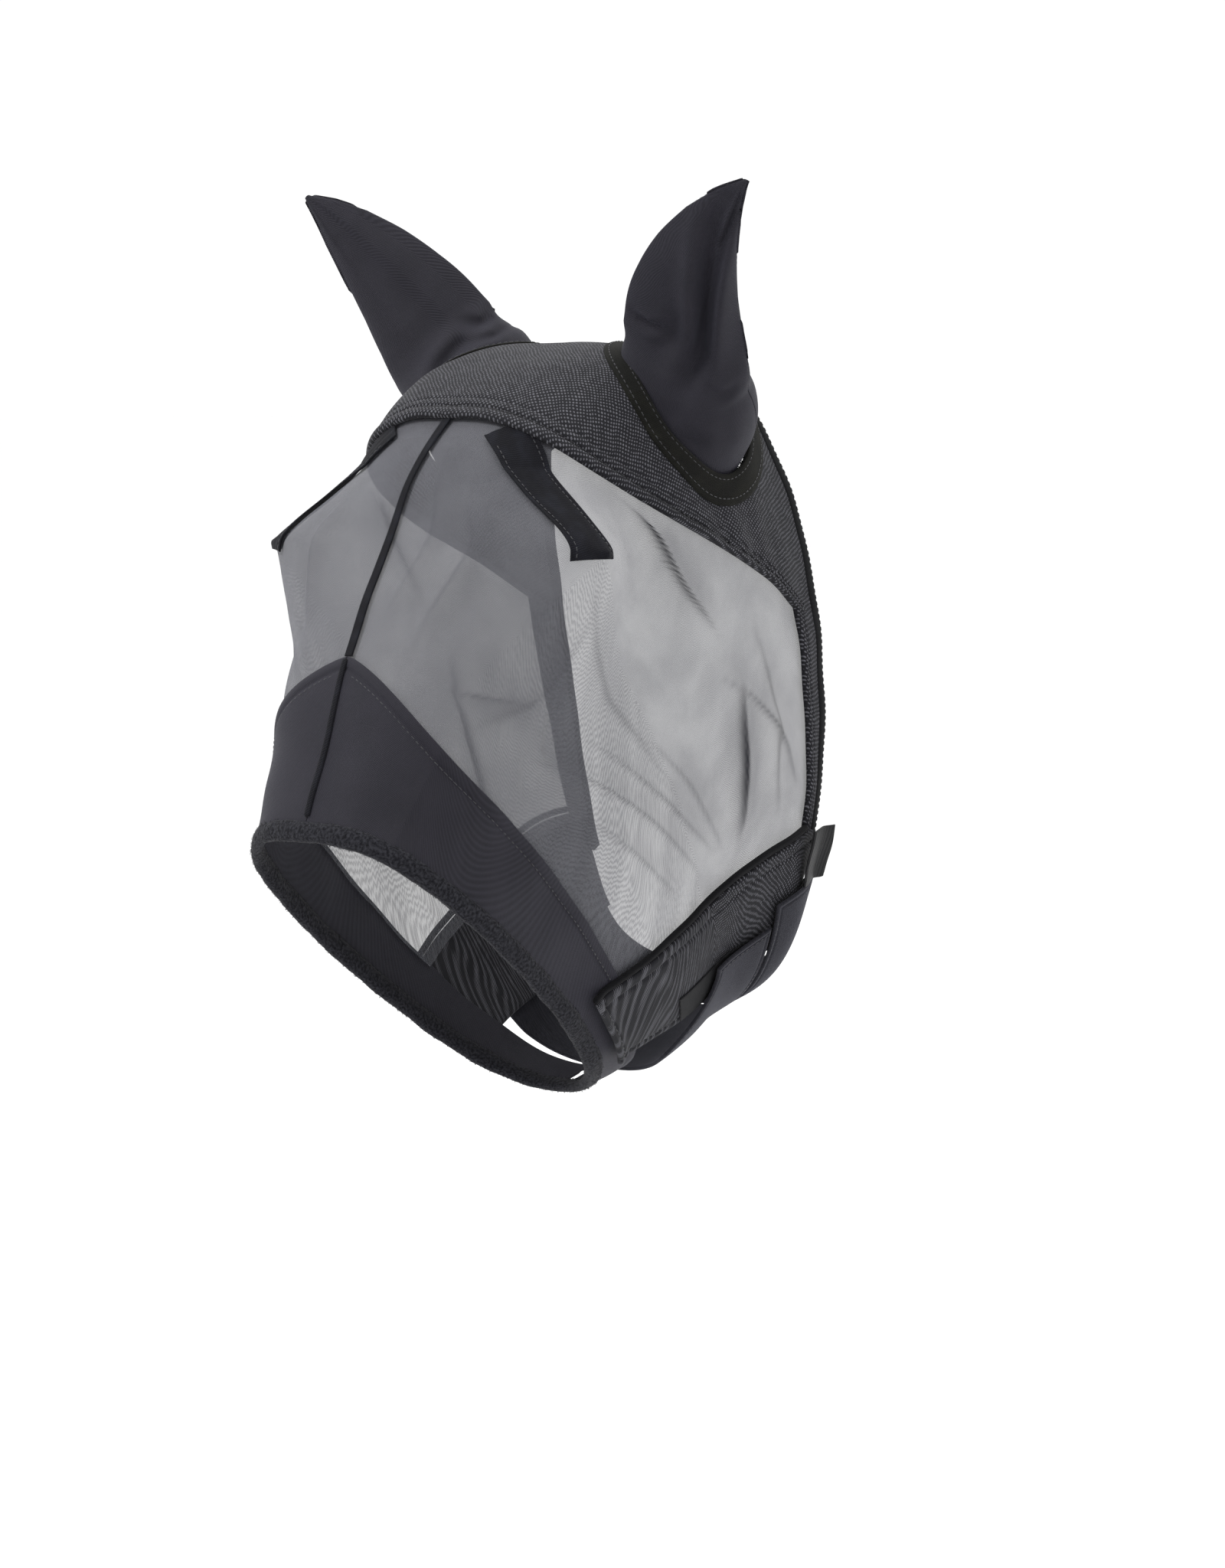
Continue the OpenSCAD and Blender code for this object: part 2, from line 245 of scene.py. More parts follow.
def fold_fields():
    """Height, lean, and double cloth with painted shade of the folds over the table of the skin. The last
    marks where the cloth lies double under each fold's steep side, together with a broad band of painted
    shade on its gentle side.
    """
    height = np.zeros(GRID.shape[:2])
    doubled = np.zeros(GRID.shape[:2])
    lean = np.zeros(GRID.shape)
    normal = unit(np.cross(np.gradient(GRID, axis=0), np.gradient(GRID, axis=1)))
    for way, rise, over, gentle, steep in FOLDS:
        at = spline(way, np.linspace(0, len(way) - 1, FOLD_STEPS + 1))
        line = skin(at[:, 0], at[:, 1])
        reach = 2.6 * gentle
        near = np.all((GRID > line.min(0) - reach) & (GRID < line.max(0) + reach), axis=-1)
        points, up = GRID[near], normal[near]
        best = np.full(len(points), 1e9)
        signed = np.zeros(len(points))
        share = np.zeros(len(points))
        side = np.zeros((len(points), 3))
        for k in range(FOLD_STEPS):
            a, b = line[k], line[k + 1]
            f = np.clip((points - a) @ (b - a) / ((b - a) @ (b - a)), 0, 1)
            off = points - a - f[:, None] * (b - a)
            far = np.linalg.norm(off, axis=1)
            across = unit(np.cross(up, b - a))
            closer = far < best
            best[closer] = far[closer]
            signed[closer] = (np.sign(np.sum(off * across, 1)) * far)[closer]
            share[closer] = ((k + f) / FOLD_STEPS)[closer]
            side[closer] = across[closer]
        shape = bell(signed, np.where(signed > 0, gentle, steep))
        shape = shape * np.sin(np.pi * np.clip(share, 0.03, 0.97)) ** 0.7
        shape *= (best < reach)
        height[near] += rise * shape
        lean[near] -= over * shape[:, None] * side
        # Double cloth under the steep side, plus a broad band of painted shade on the gentle side
        edge = bell(signed + 0.5 * steep, 0.6 * steep) + 0.35 * bell(signed - 0.5 * gentle, gentle)
        fade = np.sin(np.pi * np.clip(share, 0, 1)) ** 0.7
        doubled[near] = np.maximum(doubled[near], min(1, rise / 7) * edge * fade)
    s, t = GRID_S[:, None], GRID_T[None, :]
    free = smooth((s - brow_edge(t)) / 0.22) * smooth((nose_edge(t) + 0.02 - s) / 0.25)
    free = free * smooth((JAW_T - 0.005 - np.abs(t)) / 0.05) * smooth((s - 0.1) / 0.35)
    height *= free
    lean *= free[..., None]
    doubled *= free
    for direction, rise in RIPPLES:
        height += rise * np.sin(GRID @ (np.array(direction) / 300)) * smooth((1.0 - np.abs(t)) / 0.1)
    return height, lean, doubled


# The third field is double cloth and painted fold shade
FOLD_HEIGHT, FOLD_LEAN, FOLD_DOUBLED_AND_SHADE = fold_fields()


def surface(s, t, off):
    """Point at a height off the draped cloth, in millimetres."""
    s, t, off = np.broadcast_arrays(np.asarray(s, float), np.asarray(t, float), np.asarray(off, float))
    along = skin(s + EPS, t) - skin(s - EPS, t)
    round_ = skin(s, t + EPS) - skin(s, t - EPS)
    normal = unit(np.cross(along, round_))
    rise_s = lookup(FOLD_HEIGHT, s + EPS, t) - lookup(FOLD_HEIGHT, s - EPS, t)
    rise_t = lookup(FOLD_HEIGHT, s, t + EPS) - lookup(FOLD_HEIGHT, s, t - EPS)
    tilted = unit(np.cross(along + normal * rise_s[..., None], round_ + normal * rise_t[..., None]))
    return (skin(s, t) + normal * lookup(FOLD_HEIGHT, s, t)[..., None] + lookup(FOLD_LEAN, s, t)
            + tilted * off[..., None])


def chart(s, t):
    """Place on the flat cloth, as lengths along and round the hood."""
    return np.stack([lookup(CHART_U, s, t), lookup(CHART_V, s, t)], -1)


# ---------------------------------------------------------------- materials

class Fabric:
    """A procedural material on the "weave" UV layer, whose unit is a metre of cloth."""

    def __init__(self, name, roughness, sheen=0.0, sheen_tint=(1, 1, 1), specular=0.3):
        self.material = bpy.data.materials.new(name)
        self.material.use_nodes = True
        self.nodes = self.material.node_tree.nodes
        self.links = self.material.node_tree.links
        self.shader = self.nodes["Principled BSDF"]
        self.shader.inputs["Roughness"].default_value = roughness
        self.shader.inputs["Specular IOR Level"].default_value = specular
        self.shader.inputs["Sheen Weight"].default_value = sheen
        self.shader.inputs["Sheen Roughness"].default_value = 0.45
        self.shader.inputs["Sheen Tint"].default_value = (*sheen_tint, 1)
        place = self.nodes.new("ShaderNodeUVMap")
        place.uv_map = "weave"
        self.place = place.outputs["UV"]
        parts = self.nodes.new("ShaderNodeSeparateXYZ")
        self.links.new(self.place, parts.inputs[0])
        self.u, self.v = parts.outputs["X"], parts.outputs["Y"]

    def put(self, value, socket):
        if isinstance(value, bpy.types.NodeSocket):
            self.links.new(value, socket)
        else:
            socket.default_value = value

    def math(self, operation, a, b=0.0):
        node = self.nodes.new("ShaderNodeMath")
        node.operation = operation
        self.put(a, node.inputs[0])
        self.put(b, node.inputs[1])
        return node.outputs[0]

    def wave(self, coordinate, pitch):
        """Cosine of a coordinate, once each pitch of cloth."""
        return self.math("COSINE", self.math("MULTIPLY", coordinate, 2 * math.pi / pitch))

    def lattice(self, pitch, stray=0.0):
        """From -2 to 2, highest at the points of a diamond lattice, whose lines may stray."""
        rising = self.math("ADD", self.u, self.v)
        falling = self.math("SUBTRACT", self.u, self.v)
        if stray:
            off = self.spread(self.noise(4 * pitch, 2), 0.2, 0.8, -stray * pitch, stray * pitch)
            rising = self.math("ADD", rising, off)
            falling = self.math("SUBTRACT", falling, off)
        return self.math("ADD", self.wave(rising, pitch), self.wave(falling, pitch))

    def doubled(self):
        """How far the cloth lies double in a fold, together with painted shade along the folds, from 0 to 1.
        """
        place = self.nodes.new("ShaderNodeUVMap")
        place.uv_map = "doubled"
        parts = self.nodes.new("ShaderNodeSeparateXYZ")
        self.links.new(place.outputs["UV"], parts.inputs[0])
        return parts.outputs["X"]

    def noise(self, size, detail=2.0):
        node = self.nodes.new("ShaderNodeTexNoise")
        node.inputs["Scale"].default_value = 1 / size
        node.inputs["Detail"].default_value = detail
        self.links.new(self.place, node.inputs["Vector"])
        return node.outputs["Fac"]

    def spread(self, value, low, high, to_low=0.0, to_high=1.0):
        node = self.nodes.new("ShaderNodeMapRange")
        node.interpolation_type = "SMOOTHSTEP"
        self.put(value, node.inputs["Value"])
        for name, number in (("From Min", low), ("From Max", high), ("To Min", to_low), ("To Max", to_high)):
            node.inputs[name].default_value = number
        return node.outputs["Result"]

    def blend(self, factor, first, second):
        node = self.nodes.new("ShaderNodeMix")
        node.data_type = "RGBA"
        self.put(factor, node.inputs[0])
        for value, socket in ((first, node.inputs[6]), (second, node.inputs[7])):
            self.put(value if isinstance(value, bpy.types.NodeSocket) else (*value, 1), socket)
        return node.outputs[2]

    def color(self, value):
        self.put(value, self.shader.inputs["Base Color"])

    def bump(self, height, depth, strength=1.0):
        """Relief of a height from 0 to 1, depth in millimetres."""
        node = self.nodes.new("ShaderNodeBump")
        node.inputs["Distance"].default_value = depth * MM
        node.inputs["Strength"].default_value = strength
        self.put(height, node.inputs["Height"])
        self.links.new(node.outputs["Normal"], self.shader.inputs["Normal"])


def fly_mesh():
    """Fine open knit: light passes between its threads, less where it lies double, and its colour is
    darkened along the folds as painted shade.
    """
    cloth = Fabric("fly_mesh", 0.8, sheen=0.05, sheen_tint=(0.8, 0.8, 1.0), specular=0.1)
    knit = cloth.lattice(0.85 * MM, 0.45)
    cloud = cloth.spread(cloth.noise(40 * MM, 4), 0.3, 0.7, -0.05, 0.05)
    cover = cloth.math("ADD", cloth.spread(knit, -0.9, 1.2, 0.80, 0.60), cloud)
    # Denser where the cloth lies double, and also under the painted fold shade
    fold = cloth.math("MULTIPLY", cloth.doubled(), cloth.math("SUBTRACT", 0.96, cover))
    cloth.put(cloth.math("ADD", cover, fold), cloth.shader.inputs["Alpha"])
    shade = cloth.blend(cloth.noise(25 * MM), (0.088, 0.089, 0.100), (0.112, 0.113, 0.124))
    # Painted shade: the colour darkens to near black along the folds, with the double cloth
    cloth.color(cloth.blend(cloth.math("MULTIPLY", cloth.doubled(), 0.85), shade, (0.022, 0.022, 0.027)))
    return cloth.material


def spacer_mesh():
    """Padded air mesh: light threads round dark diamond holes."""
    cloth = Fabric("spacer_mesh", 0.8, sheen=0.05, specular=0.2)
    knit = cloth.lattice(2.7 * MM, 0.3)
    uneven = cloth.spread(cloth.noise(5 * MM, 3), 0.3, 0.7, -0.45, 0.35)
    thread = cloth.spread(cloth.math("ADD", knit, uneven), -1.35, -0.35, 1.0, 0.0)
    light = cloth.blend(cloth.noise(0.6 * MM, 1), (0.035, 0.035, 0.042), (0.150, 0.150, 0.170))
    ground = cloth.blend(cloth.noise(1.2 * MM, 2), (0.004, 0.004, 0.006), (0.010, 0.010, 0.013))
    cloth.color(cloth.blend(thread, ground, light))
    cloth.bump(thread, 0.6)
    return cloth.material


def stretch_fabric():
    """Close knit with a soft sheen: fine ribs, lighter on their crests as a painted highlight over the
    knit's own pattern, and cloudy tone.
    """
    cloth = Fabric("stretch_fabric", 0.6, sheen=0.06, sheen_tint=(0.80, 0.80, 1.0), specular=0.16)
    ribs = cloth.math("MULTIPLY", cloth.wave(cloth.v, 0.9 * MM), cloth.wave(cloth.u, 1.2 * MM))
    cloud = cloth.spread(cloth.noise(28 * MM, 4), 0.3, 0.7)
    deep = cloth.blend(cloud, (0.007, 0.0065, 0.010), (0.012, 0.011, 0.016))
    # Rib crests are lighter: partly the knit's pattern, partly a painted highlight
    cloth.color(cloth.blend(cloth.spread(ribs, -0.6, 0.9), deep, (0.019, 0.018, 0.025)))
    cloth.bump(cloth.math("ADD", ribs, cloth.noise(2.5 * MM, 3)), 0.12)
    return cloth.material


def fleece():
    """Short brushed pile in small tufts."""
    cloth = Fabric("fleece", 0.95, sheen=0.08, specular=0.08)
    tuft = cloth.noise(1.6 * MM, 5)
    cloth.color(cloth.blend(cloth.spread(tuft, 0.35, 0.65), (0.006, 0.006, 0.008), (0.024, 0.024, 0.029)))
    cloth.bump(tuft, 0.7)
    return cloth.material


def tape(name, dark, light, pitch, roughness=0.8, sheen=0.03):
    """Woven tape with a diagonal twill."""
    cloth = Fabric(name, roughness, sheen=sheen, specular=0.12)
    twill = cloth.wave(cloth.math("ADD", cloth.u, cloth.v), pitch * MM)
    cross = cloth.wave(cloth.v, pitch * 0.5 * MM)
    weave = cloth.spread(cloth.math("ADD", twill, cross), -1.4, 1.4)
    worn = cloth.spread(cloth.noise(12 * MM, 4), 0.4, 0.75)
    cloth.color(cloth.blend(cloth.math("MULTIPLY", weave, worn), dark, light))
    cloth.bump(weave, 0.25)
    return cloth.material


def hook_and_loop():
    """Dense little hooks in rows."""
    cloth = Fabric("hook_and_loop", 0.7, sheen=0.04, specular=0.15)
    rows = cloth.math("MULTIPLY", cloth.wave(cloth.u, 1.5 * MM), cloth.wave(cloth.v, 1.5 * MM))
    hooks = cloth.spread(cloth.math("ADD", rows, cloth.noise(0.9 * MM, 2)), 0.2, 1.2)
    cloth.color(cloth.blend(hooks, (0.004, 0.004, 0.005), (0.022, 0.022, 0.025)))
    cloth.bump(hooks, 0.8)
    return cloth.material


def closure_fabric():
    """Brushed loop-faced cloth."""
    cloth = Fabric("closure_fabric", 0.85, sheen=0.12, sheen_tint=(0.85, 0.85, 1.0), specular=0.15)
    nap = cloth.noise(0.8 * MM, 4)
    cloud = cloth.spread(cloth.noise(15 * MM, 3), 0.3, 0.7)
    base = cloth.blend(cloud, (0.006, 0.006, 0.009), (0.011, 0.011, 0.015))
    cloth.color(cloth.blend(cloth.spread(nap, 0.4, 0.7), base, (0.020, 0.020, 0.025)))
    cloth.bump(nap, 0.4)
    return cloth.material


def pull_tab_rubber():
    """Satin moulded tab with fine grip ribs."""
    cloth = Fabric("pull_tab_rubber", 0.5, specular=0.22)
    ribs = cloth.spread(cloth.wave(cloth.u, 2.4 * MM), -0.2, 0.6)
    cloth.color(cloth.blend(cloth.noise(3 * MM, 4), (0.005, 0.005, 0.006), (0.010, 0.010, 0.011)))
    cloth.bump(ribs, 0.5)
    return cloth.material


def sewing_thread():
    cloth = Fabric("sewing_thread", 0.5, sheen=0.2)
    ply = cloth.wave(cloth.u, 0.7 * MM)
    cloth.color(cloth.blend(cloth.spread(ply, -1, 1), (0.010, 0.010, 0.012), (0.034, 0.034, 0.040)))
    cloth.bump(ply, 0.08)
    return cloth.material


MATERIALS = {
    "face_mesh": fly_mesh(),
    "spacer_mesh": spacer_mesh(),
    "stretch_fabric": stretch_fabric(),
    "fleece": fleece(),
    "seam_tape": tape("seam_tape", (0.003, 0.003, 0.005), (0.011, 0.012, 0.018), 1.6),
    "edge_binding": tape("edge_binding", (0.002, 0.002, 0.003), (0.008, 0.008, 0.009), 1.2),
    "ear_binding": tape("ear_binding", (0.003, 0.003, 0.002), (0.011, 0.011, 0.007), 1.8),
    "hook_and_loop": hook_and_loop(),
    "closure_fabric": closure_fabric(),
    "pull_tab": pull_tab_rubber(),
    "thread": sewing_thread(),
}


# ---------------------------------------------------------------- making pieces

def add_piece(name, points, faces, cloth_at, slot, node=None, doubled=None):
    """A smooth mesh from points in millimetres, their places on the flat cloth, and how far the cloth lies
    double or carries painted fold shade there."""
    mesh = bpy.data.meshes.new(name)
    mesh.from_pydata((points.reshape(-1, 3) * MM).tolist(), [], faces)
    corner = np.empty(len(mesh.loops), np.int32)
    mesh.loops.foreach_get("vertex_index", corner)
    layer = mesh.uv_layers.new(name="weave")
    layer.data.foreach_set("uv", (cloth_at.reshape(-1, 2)[corner] * MM).astype(np.float32).ravel())
    # UV layer carrying double cloth and painted fold shade to the material
    if doubled is not None:
        share = np.stack([doubled.ravel()[corner], np.zeros(len(corner))], -1)
        mesh.uv_layers.new(name="doubled").data.foreach_set("uv", share.astype(np.float32).ravel())
    mesh.materials.append(MATERIALS[slot])
    work = bmesh.new()
    work.from_mesh(mesh)
    bmesh.ops.remove_doubles(work, verts=work.verts, dist=0.002 * MM)
    bmesh.ops.dissolve_degenerate(work, edges=work.edges, dist=0.001 * MM)
    work.to_mesh(mesh)
    work.free()
    mesh.polygons.foreach_set("use_smooth", np.ones(len(mesh.polygons), bool))
    piece = bpy.data.objects.new(name, mesh)
    bpy.context.scene.collection.objects.link(piece)
    if node:
        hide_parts(node)
    return piece


def grid_faces(nu, nv, start=0, flip=False, keep=None):
    """Quads of a grid of nu by nv points."""
    faces = []
    for i in range(nu - 1):
        for j in range(nv - 1):
            if keep is not None and not keep[i, j]:
                continue
            a = start + i * nv + j
            quad = (a, a + nv, a + nv + 1, a + 1)
            faces.append(quad[::-1] if flip else quad)
    return faces


def rim_faces(keep, nu, nv):
    """Quads that close the cut between the outer and inner layers of a grid with cells left out."""
    faces = []
    below = nu * nv
    for i in range(nu - 1):
        for j in range(nv - 1):
            if keep[i, j]:
                continue
            a, b, c, d = i * nv + j, (i + 1) * nv + j, (i + 1) * nv + j + 1, i * nv + j + 1
            for di, dj, p, q in ((0, -1, a, b), (1, 0, b, c), (0, 1, c, d), (-1, 0, d, a)):
                m, n = i + di, j + dj
                if 0 <= m < nu - 1 and 0 <= n < nv - 1 and keep[m, n]:
                    faces.append((p, q, q + below, p + below))
    return faces


def eased(count, ease=0.85):
    """Values from 0 to 1, closer together near both ends."""
    x = np.linspace(0, 1, count)
    return x - ease * np.sin(2 * np.pi * x) / (2 * np.pi)


class Edges:
    """Distances of a grid's points from its four edges, in millimetres."""

    def __init__(self, points):
        u, v = run(points, 0), run(points, 1)
        self.u0, self.u1 = u, u[-1:] - u
        self.v0, self.v1 = v, v[:, -1:] - v
        self.width, self.length = float(v[:, -1].max()), float(u[-1].max())


def area_of(points):
    """Area of a grid of points, in square millimetres."""
    a = np.cross(points[1:, :-1] - points[:-1, :-1], points[:-1, 1:] - points[:-1, :-1])
    b = np.cross(points[1:, 1:] - points[:-1, 1:], points[1:, 1:] - points[1:, :-1])
    return float((np.linalg.norm(a, axis=-1) + np.linalg.norm(b, axis=-1)).sum() / 2)


def panel(name, place, size, low, high, slot, node=None, relief=None, lift=None, ring=False, drop=None):
    """A cloth panel over the hood. place(u, v) gives its s and t, low and high its faces' heights,
    relief(edges, s, t) what stands proud of it, lift(s, t) how far it stands away."""
    nu, nv = size
    u, v = eased(nu), np.linspace(0, 1, nv) if ring else eased(nv)
    s, t = place(u[:, None], v[None, :])
    s, t = np.broadcast_arrays(s, t)
    away = lift(s, t) if lift else np.zeros_like(s)
    middle = (low + high) / 2 + away
    points = surface(s, t, middle)
    flat = chart(s, t)
    keep = None
    if high == low:
        piece = add_piece(name, points, grid_faces(nu, nv), flat, slot, node, lookup(FOLD_DOUBLED_AND_SHADE, s, t))
    else:
        edges = Edges(points)
        near = np.minimum(edges.u0, edges.u1)
        if not ring:
            near = np.minimum(near, np.minimum(edges.v0, edges.v1))
        half = (high - low) / 2
        full = np.sqrt(1 - (1 - np.clip(near / (1.1 * half), 0, 1)) ** 2)
        proud = relief(edges, s, t) if relief else 0
        top = surface(s, t, middle + (half + proud) * full)
        under = surface(s, t, middle - half * full)
        rim = []
        if drop is not None:
            centre = (points[1:, 1:] + points[:-1, :-1]) / 2
            keep = ~drop(centre)
            rim = rim_faces(keep, nu, nv)
        faces_top = grid_faces(nu, nv, 0, False, keep)
        faces_low = grid_faces(nu, nv, nu * nv, True, keep)
        piece = add_piece(name, np.stack([top, under]), faces_top + faces_low + rim,
                          np.stack([flat, flat]), slot, node)
    piece["flat_mm"] = [Edges(points).width, Edges(points).length, area_of(points)]
    return piece


def declare_sheet(piece):
    width, length, area = piece["flat_mm"]
    width, length = round(width * MM, 3), round(length * MM, 3)
    area = min(area * MM * MM, width * length)


def rolled(name, centre, across, up, wide, high, slot, node=None, sides=14, ring=False, square=0.8):
    """A rounded strip along the points of centre. across and up are its unit directions there,
    wide and high its half sizes, which may change along it."""
    count = len(centre)
    wide = np.broadcast_to(wide, count).astype(float)
    high = np.broadcast_to(high, count).astype(float)
    length = run(centre, 0)
    if not ring:
        end = np.minimum(length, length[-1] - length)
        taper = np.sqrt(1 - (1 - np.clip(end / np.maximum(high, 0.5), 0, 1)) ** 2)
        wide, high = wide * np.maximum(taper, 0.001), high * np.maximum(taper, 0.001)
    around = np.linspace(0, 2 * np.pi, sides + 1)
    c = np.sign(np.cos(around)) * np.abs(np.cos(around)) ** square
    d = np.sign(np.sin(around)) * np.abs(np.sin(around)) ** square
    points = (centre[:, None] + across[:, None] * (wide[:, None] * c)[..., None]
              + up[:, None] * (high[:, None] * d)[..., None])
    girth = around / (2 * np.pi) * 2 * (wide.max() + high.max()) * 1.6
    flat = np.stack(np.broadcast_arrays(length[:, None], girth[None, :]), -1)
    return add_piece(name, points, grid_faces(count, sides + 1, 0, True), flat, slot, node)


def frame_along(s, t, off, ring=False):
    """Points, outward and sideways directions along a line over the hood."""
    centre = surface(s, t, off)
    up = unit(surface(s, t, off + 1.0) - centre)
    if ring:
        way = unit(np.roll(centre, -1, 0) - np.roll(centre, 1, 0))
        way[0] = way[-1] = unit(centre[1] - centre[-2])
    else:
        way = unit(np.gradient(centre, axis=0))
    across = unit(np.cross(way, up))
    return centre, across, up


STITCH_PITCH = 3.8
STITCH_LENGTH = 2.8
STITCH_RADIUS = 0.28
STITCH_SHAPE = [(-0.5, 0.35, -0.25), (-0.32, 1, 0.05), (0.32, 1, 0.05), (0.5, 0.35, -0.25)]
STITCH_SIDES = 6


def stitching(name, lines, body):
    """Rows of sewn stitches along lines, each line its points and outward directions."""
    points, faces, flat = [], [], []
    for line, up in lines:
        length = run(line, 0)
        at = np.arange(STITCH_PITCH / 2, length[-1], STITCH_PITCH)
        middle = np.stack([np.interp(at, length, line[:, k]) for k in range(3)], -1)
        ahead = np.stack([np.interp(at + 0.5, length, line[:, k]) for k in range(3)], -1)
        behind = np.stack([np.interp(at - 0.5, length, line[:, k]) for k in range(3)], -1)
        way = unit(ahead - behind)
        out = unit(np.stack([np.interp(at, length, up[:, k]) for k in range(3)], -1))
        side = unit(np.cross(way, out))
        for m, w, o, e in zip(middle, way, out, side):
            start = len(points)
            for along, thick, raised in STITCH_SHAPE:
                for k in range(STITCH_SIDES):
                    a = 2 * math.pi * k / STITCH_SIDES
                    ring = (e * math.cos(a) + o * math.sin(a)) * STITCH_RADIUS * thick
                    points.append(m + w * along * STITCH_LENGTH + o * raised + ring)
                    flat.append((along * STITCH_LENGTH, a / 4))
            for r in range(len(STITCH_SHAPE) - 1):
                for k in range(STITCH_SIDES):
                    n = (k + 1) % STITCH_SIDES
                    a = start + r * STITCH_SIDES
                    faces.append((a + k, a + n, a + STITCH_SIDES + n, a + STITCH_SIDES + k))
            last = start + (len(STITCH_SHAPE) - 1) * STITCH_SIDES
            faces.append(tuple(start + k for k in reversed(range(STITCH_SIDES))))
            faces.append(tuple(last + k for k in range(STITCH_SIDES)))
    piece = add_piece(name, np.array(points), faces, np.array(flat), "thread")
    if body:
        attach(piece, body)
    return piece


def sewn_line(s, t, off):
    """A line of stitches over the hood."""
    s, t = np.broadcast_arrays(np.asarray(s, float), np.asarray(t, float))
    points = surface(s, t, off)
    return points, unit(surface(s, t, off + 1.0) - points)


def groove(distance, at, width, depth):
    return -depth * bell(distance - at, width)


def hem(distance, width=7.0, bead=0.9, depth=1.6):
    """Relief of a folded hem: a soft bead with a stitched groove behind it."""
    return bead * bell(distance - width / 2, width * 0.4) + groove(distance, width + 1, 1.1, depth)


SIDES = (("near", 1), ("far", -1))


# ---------------------------------------------------------------- face

JAW_TUCK_T = 0.018    # how far the mesh is tucked under a jaw band


def face_mesh(side, sign):
    def place(u, v):
        t = (JAW_T + JAW_TUCK_T) * v ** 1.7
        start = np.maximum(0.02, brow_edge(t) - LAP_S)
        return mix(start, nose_edge(t) + LAP_S, u), sign * t

    piece = panel(f"{side}_face_mesh_cloth", place, (200, 200), MESH_OFF, MESH_OFF, "face_mesh",
                  f"{side}_face_mesh")
    if sign < 0:
        piece.data.flip_normals()
    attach(piece, "hood")
    declare_sheet(piece)


SEAM_HALF_T = 0.005   # half the seam's width, as a share of the way round


def centre_seam():
    """The covered seam down the forehead. It's too narrow for a sheet of its own."""
    def place(u, v):
        return mix(2.55, 5.0, u), mix(-SEAM_HALF_T, SEAM_HALF_T, v)

    piece = panel("centre_seam_tape_cloth", place, (110, 9), 0.1, 0.1 + TAPE_T, "seam_tape",
                  "centre_seam_tape")
    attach(piece, "hood")
    return piece


DART_WAY = [(2.60, 0.110), (2.84, 0.185), (3.12, 0.235), (3.47, 0.272)]
DART_WIDTH = [0.30, 0.33, 0.36, 0.30]


def dart_tape(side, sign):
    def place(u, v, inset=0.0):
        f = 3 * u
        at = spline(DART_WAY, f)
        width = spline(np.array(DART_WIDTH)[:, None], f)[..., 0] - inset
        return at[..., 0] - (v - 0.5) * width, sign * (at[..., 1] + 0.045 * (v - 0.5))

    def relief(edges, s, t):
        cords = 0.22 * np.cos(2 * np.pi * edges.v0 / (edges.v0 + edges.v1 + 1e-9) * 4)
        return cords + groove(edges.v0, 2.0, 0.6, 0.35) + groove(edges.v1, 2.0, 0.6, 0.35)

    piece = panel(f"{side}_dart_tape_cloth", place, (90, 26), 0.1, 0.1 + TAPE_T, "seam_tape",
                  f"{side}_dart_tape", relief)
    if sign > 0:
        piece.data.flip_normals()
    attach(piece, "hood")
    declare_sheet(piece)
    u = np.linspace(0.12, 0.98, 80)
    rows = []
    for v in (0.12, 0.88):
        s, t = place(u, np.full_like(u, v))
        rows.append(sewn_line(s, t, TAPE_T - 0.05))
    stitching(f"{side}_dart_tape_stitching", rows, "hood")


# ---------------------------------------------------------------- nose and muzzle

NOSE_END_S = MUZZLE_S - MUZZLE_BAND_S
CHIN_T = 0.997        # where the nose panels meet under the chin


def nose_panel(side, sign):
    def place(u, v):
        t = CHIN_T * v ** 1.5
        return mix(nose_edge(t), NOSE_END_S + 0.06, u), sign * t

    def relief(edges, s, t):
        pull = 0.5 * np.sin(9 * s + 14 * np.abs(t)) * bell(np.abs(t) - 0.42, 0.2)
        return hem(edges.u0, 6, 0.35, 0.7) + pull

    piece = panel(f"{side}_nose_panel_cloth", place, (70, 200), 0.1, 0.1 + STRETCH_T, "stretch_fabric",
                  f"{side}_nose_panel", relief)
    if sign < 0:
        piece.data.flip_normals()
    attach(piece, "hood")
    declare_sheet(piece)
    t = np.linspace(0.015, JAW_T, 300)
    stitching(f"{side}_nose_panel_stitching", [sewn_line(nose_edge(t) + 0.15, sign * t, 1.45)], "hood")


def nose_seam():
    s = np.linspace(5.02, NOSE_END_S, 70)
    centre, across, up = frame_along(s, np.zeros_like(s), 2.2)
    piece = rolled("nose_seam_roll", centre, across, up, 1.9, 0.75, "seam_tape", "nose_seam_tape")
    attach(piece, "hood")


FLEECE_HALF_WIDTH = 6.0
FLEECE_HALF_DEPTH = 3.4


def muzzle_binding():
    t = np.linspace(-1, 1, 361)
    t = np.sign(t) * np.abs(t) ** 1.5
    s = np.full_like(t, MUZZLE_S - MUZZLE_BAND_S / 2)
    centre, across, up = frame_along(s, t, 0.0, ring=True)
    around = run(centre, 0)
    loops = around / around[-1] * 2 * np.pi
    wide = FLEECE_HALF_WIDTH + 0.2 * np.sin(17 * loops)
    high = FLEECE_HALF_DEPTH + 0.12 * np.sin(23 * loops + 2)
    piece = rolled("muzzle_binding_fleece", centre, across, up, wide, high, "fleece", "muzzle_binding",
                   sides=28, ring=True, square=0.85)
    ruffle(piece, 0.16, 1.8)
    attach(piece, "hood")
    pile("muzzle_binding_pile", piece, 13000, 1.1, "fleece", "hood")


